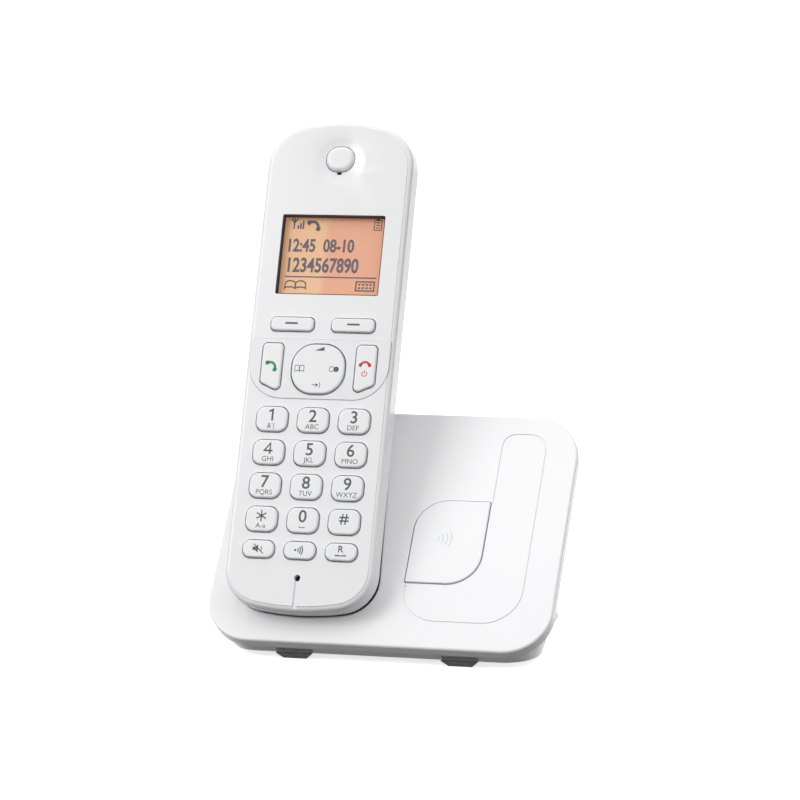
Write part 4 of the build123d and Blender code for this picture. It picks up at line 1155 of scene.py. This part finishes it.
@dataclass
class Studio:
    """A plain pale floor, soft light from above and the camera.

    Attributes:
        aim: What the camera looks at, in millimetres.
        distance: From there to the camera.
        azimuth: The camera's turn to the right of the front, in degrees.
        elevation: Its height angle.
        roll: Its own turn.
        lens: Focal length on a 36 mm sensor.
        sky_strength: Brightness of the sky overhead.
        sky_ramp: Sines of the height angles where the sky starts and is full.
        floor_reach: From the middle to the floor's side, in metres.
        wall: The wall's radius and height, in metres.
        glow: Light that the floor and the wall give out.
    """

    aim: tuple[float, float, float]
    distance: float = 1104.7
    azimuth: float = 15.475
    elevation: float = 10.606
    roll: float = -1.151
    lens: float = 155.4
    sky_strength: float = 1.1
    sky_ramp: Point = (-0.02, 0.35)
    floor_reach: float = 9.0
    wall: Point = (8.5, 6.0)
    glow: Point = (0.7, 1.0)

    def camera(self) -> None:
        """Sets up the camera."""
        a, e, r = (radians(v) for v in (self.azimuth, self.elevation, self.roll))
        right = Vector((cos(a), sin(a), 0.0))
        back = Vector((sin(a) * cos(e), -cos(a) * cos(e), sin(e)))
        up = back.cross(right)
        axes = (right * cos(r) + up * sin(r), up * cos(r) - right * sin(r), back)
        place = (Vector(self.aim) + back * self.distance) * MM
        data = bpy.data.cameras.new("camera")
        data.lens, data.sensor_width = self.lens, 36.0
        data.clip_start, data.clip_end = 0.01, 50.0
        eye = bpy.data.objects.new("camera", data)
        eye.matrix_world = Matrix.Translation(place) @ Matrix(axes).transposed().to_4x4()
        bpy.context.scene.collection.objects.link(eye)
        bpy.context.scene.camera = eye

    def softbox(
        self, name: str, place: Sequence[float], aim: Sequence[float], size: Point, power: float
    ) -> None:
        """Hangs one soft rectangular light.

        Args:
            name: Its name.
            place: Where it is, in metres.
            aim: What it points at, in metres.
            size: Its width and height in metres.
            power: Its power in watts.
        """
        data = bpy.data.lights.new(name, "AREA")
        data.shape, data.size, data.size_y, data.energy = "RECTANGLE", *size, power
        lamp = bpy.data.objects.new(name, data)
        facing = (Vector(aim) - Vector(place)).to_track_quat("-Z", "Y").to_matrix().to_4x4()
        lamp.matrix_world = Matrix.Translation(Vector(place)) @ facing
        bpy.context.scene.collection.objects.link(lamp)

    def sky(self) -> None:
        """Lights everything softly from above, and not at all from below."""
        world = bpy.data.worlds.new("studio")
        bpy.context.scene.world = world
        world.use_nodes = True
        tree = world.node_tree
        tree.nodes.clear()
        way = add_node(tree, "ShaderNodeTexCoord").outputs["Generated"]
        height = add_node(tree, "ShaderNodeSeparateXYZ", {0: way}).outputs[2]
        start, full = self.sky_ramp
        share = add_node(
            tree,
            "ShaderNodeMapRange",
            {0: height, 1: start, 2: full, 3: 0.0, 4: self.sky_strength},
        ).outputs[0]
        glow = add_node(
            tree, "ShaderNodeBackground", {"Color": linear("#FEFEFF"), "Strength": share}
        )
        add_node(tree, "ShaderNodeOutputWorld", {"Surface": glow.outputs[0]})

    @staticmethod
    def sheet(name: str, form: bmesh.types.BMesh, glow: float) -> bpy.types.Object:
        """Makes one sheet of the paper sweep, lit from behind.

        Args:
            name: The sheet's name.
            form: Its shape.
            glow: Light that it gives out itself, so that only a faint shadow shows on it.

        Returns:
            The sheet, which throws no light on the telephone by bounces.
        """
        mesh = bpy.data.meshes.new(name)
        form.to_mesh(mesh)
        form.free()
        paper = Finish(
            f"paper seamless pale {name}", "#FCFCFD", "#FAFAFB", 400.0, (0.9, 0.02), 2.0, 1.0
        )
        material = paper.make()
        shader = next(n for n in material.node_tree.nodes if n.type == "BSDF_PRINCIPLED")
        shader.inputs["Emission Color"].default_value = linear("#FFFFFF")
        shader.inputs["Emission Strength"].default_value = glow
        mesh.materials.append(material)
        sheet = link_object(name, mesh)
        sheet.visible_diffuse = False
        return sheet

    def floor(self) -> None:
        """Lays the pale floor and stands a pale wall far round it, which only the eye sees."""
        ground = bmesh.new()
        bmesh.ops.create_grid(ground, x_segments=1, y_segments=1, size=self.floor_reach)
        self.sheet("floor", ground, self.glow[0])
        radius, height = self.wall
        ring = bmesh.new()
        bmesh.ops.create_cone(
            ring, cap_ends=False, segments=48, radius1=radius, radius2=radius, depth=height
        )
        bmesh.ops.translate(ring, verts=ring.verts, vec=(0.0, 0.0, height / 2 - 0.01))
        bmesh.ops.reverse_faces(ring, faces=ring.faces)
        wall = self.sheet("backdrop", ring, self.glow[1])
        wall.visible_glossy = False
        wall.visible_shadow = False

    def build(self) -> None:
        """Sets the stage, the light and the camera."""
        self.floor()
        self.sky()
        self.softbox("front_light", (-1.05, -1.15, 1.15), (0.0, 0.0, 0.08), (0.8, 0.8), 11.0)
        self.softbox("gleam", (-0.225, -0.363, 1.166), (0.043, 0.001, 0.055), (0.16, 0.22), 0.22)
        self.camera()
        bpy.context.scene.view_settings.view_transform = "Standard"


# ---------------------------------------------------------------- the whole


def finishes() -> tuple[dict[str, Finish], dict[str, Finish]]:
    """Says what every node of the frame is made of.

    Returns:
        The finishes of the curved, seen nodes, and of the rest.
    """
    keys = [f"key_{word}" for word in "1 2 3 4 5 6 7 8 9 star 0 hash mute intercom recall".split()]
    keys += ["talk_key", "off_key", "nav_key", "soft_key_left", "soft_key_right"]
    cases = [
        "handset_front_case", "handset_rear_case", "battery_door", "earpiece_cap",
        "base_top_cover", "base_bottom_case", "locator_button",
    ]
    smooth = {node: CASE_ABS for node in cases} | {node: KEY_ABS for node in keys}
    # The control panel's greyer tint is painted shade along its edge.
    smooth["control_panel"] = PANEL_ABS_PAINTED_SHADE
    groups = [
        (PANE, "display_window"),
        (DISPLAY, "display_panel"),
        (FROSTED, "display_light_guide"),
        (SILICONE, "keypad_mat"),
        (FOAM_AND_PAINTED_SHADE, "microphone"),
        (LAMINATE, "handset_board base_board button_board"),
        (BASKET, "receiver_speaker ringer_speaker"),
        (
            NICKEL,
            "handset_charge_plate_left handset_charge_plate_right charge_contact_left "
            "charge_contact_right battery_terminals_bottom battery_terminals_top handset_antenna",
        ),
        (JACKET, "battery_cell_left battery_cell_right"),
        (ZINC, "handset_screws base_screws"),
        (BLACK_NYLON, "line_jack power_jack locator_switch contact_holder"),
        (FOOT_RUBBER, "foot_front_left foot_front_right foot_rear_left foot_rear_right"),
    ]
    plain = {node: finish for finish, names in groups for node in names.split()}
    return smooth, plain


def main() -> None:
    """Builds the whole telephone and the studio round it."""
    logging.basicConfig(level=logging.INFO, format="%(message)s")
    face, top = handset_frame(), plate_frame()
    Mouldings(*finishes()).build()
    KeyPrints(face).build()
    DisplayImage(face).build()
    BaseDetails(top).build()
    edge = top.origin.y / MM
    Studio((0.685 - 0.75, 40.0 + edge, 77.85)).build()


if __name__ == "__main__":
    main()
